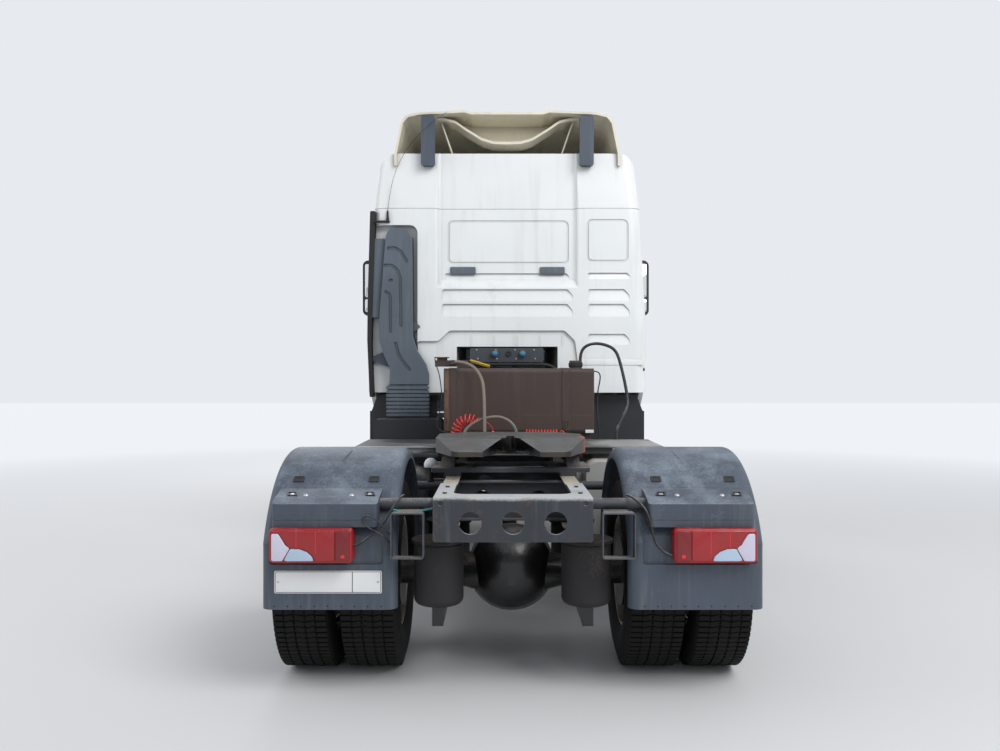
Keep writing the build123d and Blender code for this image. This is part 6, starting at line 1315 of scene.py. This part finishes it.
# %% Rubber round the glass
CAB_SHELL = ["cab_front_frame", "windscreen", "cab_sides"]
SCREEN = finely(oblong(-1.062, 1.062, 2.062, 2.905, 0.07, 5))
SIDE_PANE = [(-2.3475, 2.035), (-1.5675, 2.035), (-1.5675, 2.790), (-2.1713, 2.790)]
seal = frame_band(SCREEN, 0.045, 0.004, CAB_SHELL, FORWARD, lambda u, v: (u, AHEAD, v))
dark_piece("windscreen_seal", [seal], "black rubber", "cab")
for side, sign in SIDES:
    pane = shrunk(finely(rounded(SIDE_PANE, 0.05)), -0.008)
    seal = frame_band(pane, 0.020, 0.002, ["door_" + side, "window_" + side], (-sign, 0, 0),
                      lambda u, v: (sign * 1.3, u, v))
    dark_piece("window_seal_" + side, [seal], "black rubber", "door_" + side)
    reach = sorted(corner[0] for corner in seal[0])
    print("seal", side, "from", round(reach[0], 3), "to", round(reach[-1], 3))

# %% Wipers
WIPERS = [  # pivot, tip and root of the blade
    ((0.10, 2.045), (0.92, 2.125), (0.22, 2.105)), ((-0.92, 2.045), (-0.10, 2.125), (-0.82, 2.105)),
]


def on_screen(x, z, lift):
    return x, surface(CAB_SHELL, (x, -5, z), FORWARD).y - lift, z


for number, (pivot, tip, root) in enumerate(WIPERS):
    blade = [on_screen(*(low + (high - low) * step / 8 for low, high in zip(root, tip)), 0.012)
             for step in range(9)]
    middle = blade[4]
    arm = [on_screen(*pivot, 0.006), on_screen(pivot[0] + 0.03, pivot[1] + 0.012, 0.030),
           on_screen((pivot[0] + middle[0]) / 2, 2.085, 0.030), (middle[0], middle[1] - 0.010, middle[2])]
    curve_piece(f"wiper_blade_{number}", blade, 0.016, "black plastic", "cab")
    curve_piece(f"wiper_arm_{number}", arm, 0.014, "black plastic", "cab")
print("wipers", len(WIPERS))

# %% Headlamp bowls
BOWL = [(0, 0.004), (0.020, 0.006), (0.032, 0.002), (0.060, 0.004), (0.070, 0.010), (0.078, 0.010),
        (0.082, 0.002), (0.082, -0.004)]
WINKER = slab(oblong(-0.022, 0.022, -0.10, 0.10, 0.012), -0.002, 0.006, 0.003, 3)
for side, sign in SIDES:
    bowls = []
    for x in (0.815, 0.985):
        face = surface(["headlamps"], (sign * x, -5, 0.76), FORWARD).y
        bowls.append(placed(turned(BOWL, 32), (sign * x, face, 0.76), TO_FRONT))
    add_piece("headlamp_bowls_" + side, bowls, "galvanised", "chassis")
    face = surface(["headlamps"], (sign * 1.09, -5, 0.75), FORWARD).y
    winker = placed(WINKER, (sign * 1.085, face, 0.75), TO_FRONT)
    add_piece("front_winker_" + side, [winker], "amber lens", "chassis")

# %% Mirror glass and door handles
HANDLE = slab(oblong(-0.085, 0.085, -0.022, 0.022, 0.014), -0.002, 0.014, 0.008, 3)
HANDLE_CUP = framed(0.200, 0.070, 0.010, 0.003)
MIRROR_X = 1.44
for side, sign in SIDES:
    middle = sign * MIRROR_X
    back = surface(["mirrors"], (middle, 0, 2.55), (0, -1, 0)).y
    panes = []
    for low, high in ((2.42, 2.78), (2.26, 2.40)):
        outline = oblong(middle - 0.085, middle + 0.085, low, high, 0.02)
        panes.append(on_rear(slab(outline, -0.002, 0.004, 0.002), back))
    add_piece("mirror_glass_" + side, panes, "mirror glass", "cab")
    skin = surface(["door_" + side], (sign * 3, -1.56, 1.78), (-sign, 0, 0)).x
    handle = [placed(shape, (skin, -1.60, 1.78), to_side(sign)) for shape in (HANDLE, HANDLE_CUP)]
    dark_piece("door_handle_" + side, handle, "black plastic", "door_" + side)

# %% Marker lamps and step treads
ROOF_MARKER = slab(oblong(-0.045, 0.045, -0.014, 0.014, 0.008), -0.006, 0.012, 0.006, 3)
SIDE_MARKER = slab(oblong(-0.040, 0.040, -0.016, 0.016, 0.006), -0.002, 0.008, 0.004, 3)
markers = [placed(ROOF_MARKER, surface(["high_roof"], (x, -5, 3.22), FORWARD), TO_FRONT)
           for x in (-0.62, -0.22, 0.22, 0.62)]
add_piece("roof_markers", markers, "amber lens", "cab")
sides = []
for name, sign, y, z in (("battery_box", 1, 0.28, 0.86), ("side_fuel_tank", -1, 0.50, 0.72),
                         ("side_fuel_tank", -1, 1.10, 0.72)):
    sides.append(placed(SIDE_MARKER, surface([name], (sign * 3, y, z), (-sign, 0, 0)), to_side(sign)))
add_piece("side_markers", sides, "amber lens", "chassis")
for side, sign in SIDES:
    for number, level in enumerate((0.430, 0.700, 0.960)):
        top = surface(["entry_steps"], (sign * 1.10, -2.25, level + 0.1), (0, 0, -1))
        if top:
            grow_piece(f"step_tread_{side}_{number}", bar_tree, "galvanised", "chassis", {
                "Count": 12, "Start": (sign * 1.08, -2.42, top.z + 0.0012), "Step": (0, 0.030, 0),
                "Size": (0.16, 0.012, 0.004)})
print("markers", len(markers) + len(sides))

# %% [markdown]
# Some stains belong to one place: black grease in the fifth wheel's throat with brown smears beside
# it, a red mark on its edge, and pale patches on the deck. A dark patch on the deck is the bellows'
# painted shadow. Each is one more layer of its finish, a soft oval mask broken up by noise.

# %% Stains and a painted shadow
STAINS_AND_SHADOW = [  # finish, middle, reach, colour, roughness
    ("coupling plate", (0.0, 1.95, 1.16), (0.17, 0.22, 0.12), (0.004, 0.004, 0.004), 0.18),
    ("coupling plate", (-0.25, 2.06, 1.11), (0.10, 0.10, 0.06), (0.060, 0.048, 0.036), 0.34),
    ("coupling plate", (0.25, 2.06, 1.11), (0.10, 0.10, 0.06), (0.060, 0.048, 0.036), 0.34),
    ("coupling plate", (-0.440, 1.72, 1.16), (0.035, 0.12, 0.07), (0.36, 0.06, 0.05), 0.45),
    # painted shadow of the bellows on the deck's left side
    ("deck steel", (0.70, 0.60, 1.10), (0.34, 0.26, 0.03), (0.008, 0.009, 0.011), 0.5),
    ("deck steel", (0.82, 1.12, 1.09), (0.30, 0.06, 0.04), (0.30, 0.31, 0.32), 0.45),
    ("deck steel", (-0.86, 0.80, 1.10), (0.30, 0.36, 0.020), (0.28, 0.28, 0.265), 0.42),
]


def stained_or_shaded(material, centre, reach, colour, roughness):
    tree = material.node_tree
    shader = next(item for item in tree.nodes if item.type == "BSDF_PRINCIPLED")
    coords = node(tree, "TexCoord").outputs["Object"]
    apart = node(tree, "VectorMath", {0: coords, 1: centre}, operation="SUBTRACT").outputs[0]
    shares = node(tree, "VectorMath", {0: apart, 1: [1 / value for value in reach]}, operation="MULTIPLY")
    distance = node(tree, "VectorMath", {0: shares.outputs[0]}, operation="LENGTH").outputs["Value"]
    ragged = calculate(tree, "MULTIPLY", noise(tree, coords, 14.0, 5.0), 0.9)
    mask = spread(tree, calculate(tree, "ADD", distance, ragged), 1.55, 1.15)
    sockets = shader.inputs
    below = sockets["Base Color"].links[0].from_socket
    tree.links.new(mix_colours(tree, mask, below, rgb(*colour)), sockets["Base Color"])
    below = sockets["Roughness"].links[0].from_socket
    tree.links.new(node(tree, "Mix", {0: mask, 2: below, 3: roughness}).outputs[0], sockets["Roughness"])


for finish, *stain in STAINS_AND_SHADOW:
    stained_or_shaded(finishes[finish], *stain)
print("stains", len(STAINS_AND_SHADOW))

# %% [markdown]
# The seats and the mattress are soft. Each pad starts a little smaller than its place, is remeshed
# to even squares, and is then blown up as cloth for twenty frames, which crowns its faces and pulls
# its sides in between the corners. The sewn channels are pressed in afterwards, because the remesh
# would lose them. The second seat is the first one's mesh, moved across.

# %% Blowing up a pad
CLOTH_FRAMES = 20


def settled(work):
    graph = bpy.context.evaluated_depsgraph_get()
    mesh = bpy.data.meshes.new_from_object(work.evaluated_get(graph))
    work.modifiers.clear()
    work.data = mesh
    return mesh


def pad_mesh(name, section, x0, x1, voxel, pressure, cap):
    places, faces = placed(slab(rounded(section, 0.03, 5), x0, x1, 0.02, 3), (0, 0, 0), to_side(1))
    work = bpy.data.objects.new(name + "_work", bpy.data.meshes.new(name + "_work"))
    scene.collection.objects.link(work)
    work.data.from_pydata(places, [], faces)
    remesh = work.modifiers.new("even", "REMESH")
    remesh.mode = "VOXEL"
    remesh.voxel_size = voxel
    mesh = settled(work)
    start = [vertex.co.copy() for vertex in mesh.vertices]
    cloth = work.modifiers.new("cloth", "CLOTH")
    cloth.settings.quality = 4
    cloth.settings.use_pressure = True
    cloth.settings.uniform_pressure_force = pressure
    cloth.settings.effector_weights.gravity = 0
    for number in range(1, CLOTH_FRAMES + 1):
        scene.frame_set(number)
    mesh = settled(work)
    scene.frame_set(1)
    for vertex, before in zip(mesh.vertices, start):
        move = vertex.co - before
        if move.length > cap:
            vertex.co = before + move.normalized() * cap
    work.modifiers.new("smooth", "SUBSURF").levels = 1
    mesh = settled(work)
    bpy.data.objects.remove(work)
    mesh.name = name
    return mesh


def pressed(mesh, distance, depth, width):
    moves = []
    for vertex in mesh.vertices:
        apart = distance(vertex.co)
        if apart < 3 * width:
            moves.append((vertex.index, vertex.normal * depth * math.exp(-(apart / width) ** 2)))
    for index, move in moves:
        mesh.vertices[index].co -= move


def place_pad(name, mesh, finish, node_name):
    piece = show_piece(name, mesh, finish, "cab", 80)
    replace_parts(piece, node_name)


# %% Seats
SEAT_X = 0.690
FAR = 1
CUSHION = [(-1.817, 1.766), (-1.360, 1.766), (-1.360, 1.872), (-1.817, 1.880)]
BACKREST = [(-1.372, 1.822), (-1.294, 1.822), (-1.172, 2.506), (-1.256, 2.506)]
HEADREST = [(-1.246, 2.524), (-1.184, 2.524), (-1.158, 2.690), (-1.228, 2.690)]


def seat_pad(name, section, half, voxel, cap):
    return pad_mesh(name, section, SEAT_X - half, SEAT_X + half, voxel, 4.0, cap)


def beside(co, reach):
    return abs(abs(co.x - SEAT_X) - reach)


def between(co, reach):
    return abs(co.x - SEAT_X) < reach


cushion = seat_pad("cushion", CUSHION, 0.236, 0.0085, 0.014)
pressed(cushion, lambda co: beside(co, 0.150) + (0 if co.z > 1.82 else FAR), 0.007, 0.006)
pressed(cushion, lambda co: min(abs(co.y - seam) for seam in (-1.70, -1.58, -1.46))
        + (0 if between(co, 0.150) and co.z > 1.82 else FAR), 0.006, 0.006)
backrest = seat_pad("backrest", BACKREST, 0.226, 0.0085, 0.014)
pressed(backrest, lambda co: beside(co, 0.140) + (0 if co.z < 2.47 else FAR), 0.007, 0.006)
pressed(backrest, lambda co: min(abs(co.z - seam) for seam in (1.95, 2.08, 2.21, 2.34))
        + (0 if between(co, 0.140) else FAR), 0.006, 0.006)
headrest = seat_pad("headrest", HEADREST, 0.128, 0.007, 0.010)
pressed(headrest, lambda co: beside(co, 0.095), 0.004, 0.005)
for name, mesh in (("cushion", cushion), ("backrest", backrest), ("headrest", headrest)):
    other = mesh.copy()
    for vertex in other.vertices:
        vertex.co.x -= 2 * SEAT_X
    place_pad(f"seat_{name}_left", mesh, "cloth", "seats")
    place_pad(f"seat_{name}_right", other, "cloth", "seats")
    print(name, len(mesh.polygons), "faces")

# %% Seat bases
BELLOWS_CORE = slab(oblong(-0.140, 0.140, -0.165, 0.165, 0.04), 1.505, 1.736)
HINGE = slab(oblong(-1.350, -1.420, 1.740, 1.830, 0.015), -0.010, 0.010, 0.003, 2)
PIN = turned([(0.007, 0.0), (0.007, 0.05)], 14)
for side, sign in SIDES:
    x = sign * SEAT_X
    folds = [slab(oblong(-0.155, 0.155, -0.180, 0.180, 0.05), z, z + 0.014, 0.004, 2)
             for z in (1.520 + 0.030 * step for step in range(7))]
    plates = [slab(oblong(-0.160, 0.160, -0.185, 0.185, 0.03), low, high, 0.006, 2)
              for low, high in ((1.471, 1.505), (1.736, 1.756))]
    folds = [placed(fold, (x, -1.572, 0)) for fold in folds + [BELLOWS_CORE]]
    frames = [placed(plate, (x, -1.572, 0)) for plate in plates]
    for edge in (-1, 1):
        frames.append(placed(HINGE, (x + edge * 0.215, 0, 0), to_side(1)))
        frames.append(placed(PIN, (x + edge * 0.07, -1.213, 2.492)))
    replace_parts(add_piece("seat_bellows_" + side, folds, "black rubber", "cab"), "seats")
    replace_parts(add_piece("seat_frame_" + side, frames, "black plastic", "cab"), "seats")

# %% Mattress and lockers
BUNK_LOW, BUNK_HIGH = (Vector(corner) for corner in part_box("bunk"))
MATTRESS = [(BUNK_LOW.y + 0.010, 1.888), (BUNK_HIGH.y - 0.010, 1.888), (BUNK_HIGH.y - 0.010, 1.982),
            (BUNK_LOW.y + 0.010, 1.982)]
mattress = pad_mesh("mattress", MATTRESS, BUNK_LOW.x + 0.012, BUNK_HIGH.x - 0.012, 0.012, 3.0, 0.012)
pressed(mattress, lambda co: min(abs(co.x - 0.28 * step) for step in range(-4, 5))
        + (0 if co.z > 1.93 else FAR), 0.009, 0.012)
place_pad("mattress", mattress, "ticking", "bunk")
FRONT = BUNK_LOW.y + 0.001
LOCKER_DOOR = framed(0.60, 0.32, 0.012, 0.006)
lockers = []
for sign in (1, -1):
    x0, x1 = sorted((sign * 0.461, sign * BUNK_HIGH.x))
    locker = slab(oblong(x0, x1, FRONT, BUNK_HIGH.y - 0.001, 0.02), 1.471, 1.879, 0.006, 2)
    lockers.append(placed(locker, (0, 0, 0)))
    lockers.append(placed(LOCKER_DOOR, ((x0 + x1) / 2, FRONT, 1.675), TO_FRONT))
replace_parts(add_piece("bunk_lockers", lockers, "trim", "cab"), "bunk")
print("mattress", len(mattress.polygons), "faces")

# %% Steering wheel
WHEEL_AT = Vector((SEAT_X, -1.862, 2.140))
WHEEL_OUT = Vector((0, 0.50, 0.866)).normalized()
ON_WHEEL = ((1, 0, 0), Vector((0, -0.866, 0.50)).normalized(), WHEEL_OUT)
RIM_POINTS = 12
turns = [math.tau * step / RIM_POINTS for step in range(RIM_POINTS)]
ring = [(0.205 + 0.014 * math.cos(turn), 0.014 * math.sin(turn)) for turn in turns]
wheel = [turned(ring, 48, closed=True),
         slab(oblong(-0.075, 0.075, -0.055, 0.055, 0.03, 5), -0.030, 0.004, 0.008, 3),
         slab(oblong(-0.198, 0.198, -0.016, 0.016, 0.008), -0.018, -0.004, 0.004, 2),
         slab(oblong(-0.016, 0.016, -0.198, 0.0, 0.008), -0.018, -0.004, 0.004, 2)]
wheel = [placed(part, WHEEL_AT, ON_WHEEL) for part in wheel]
add_piece("steering_wheel", wheel, "black plastic", "cab", 50)
COLUMN = [tuple(WHEEL_AT - WHEEL_OUT * 0.02), tuple(WHEEL_AT - WHEEL_OUT * 0.12), (SEAT_X, -1.99, 1.98)]
curve_piece("steering_column", COLUMN, 0.070, "black plastic", "cab")
print("steering wheel at", tuple(round(value, 3) for value in WHEEL_AT))
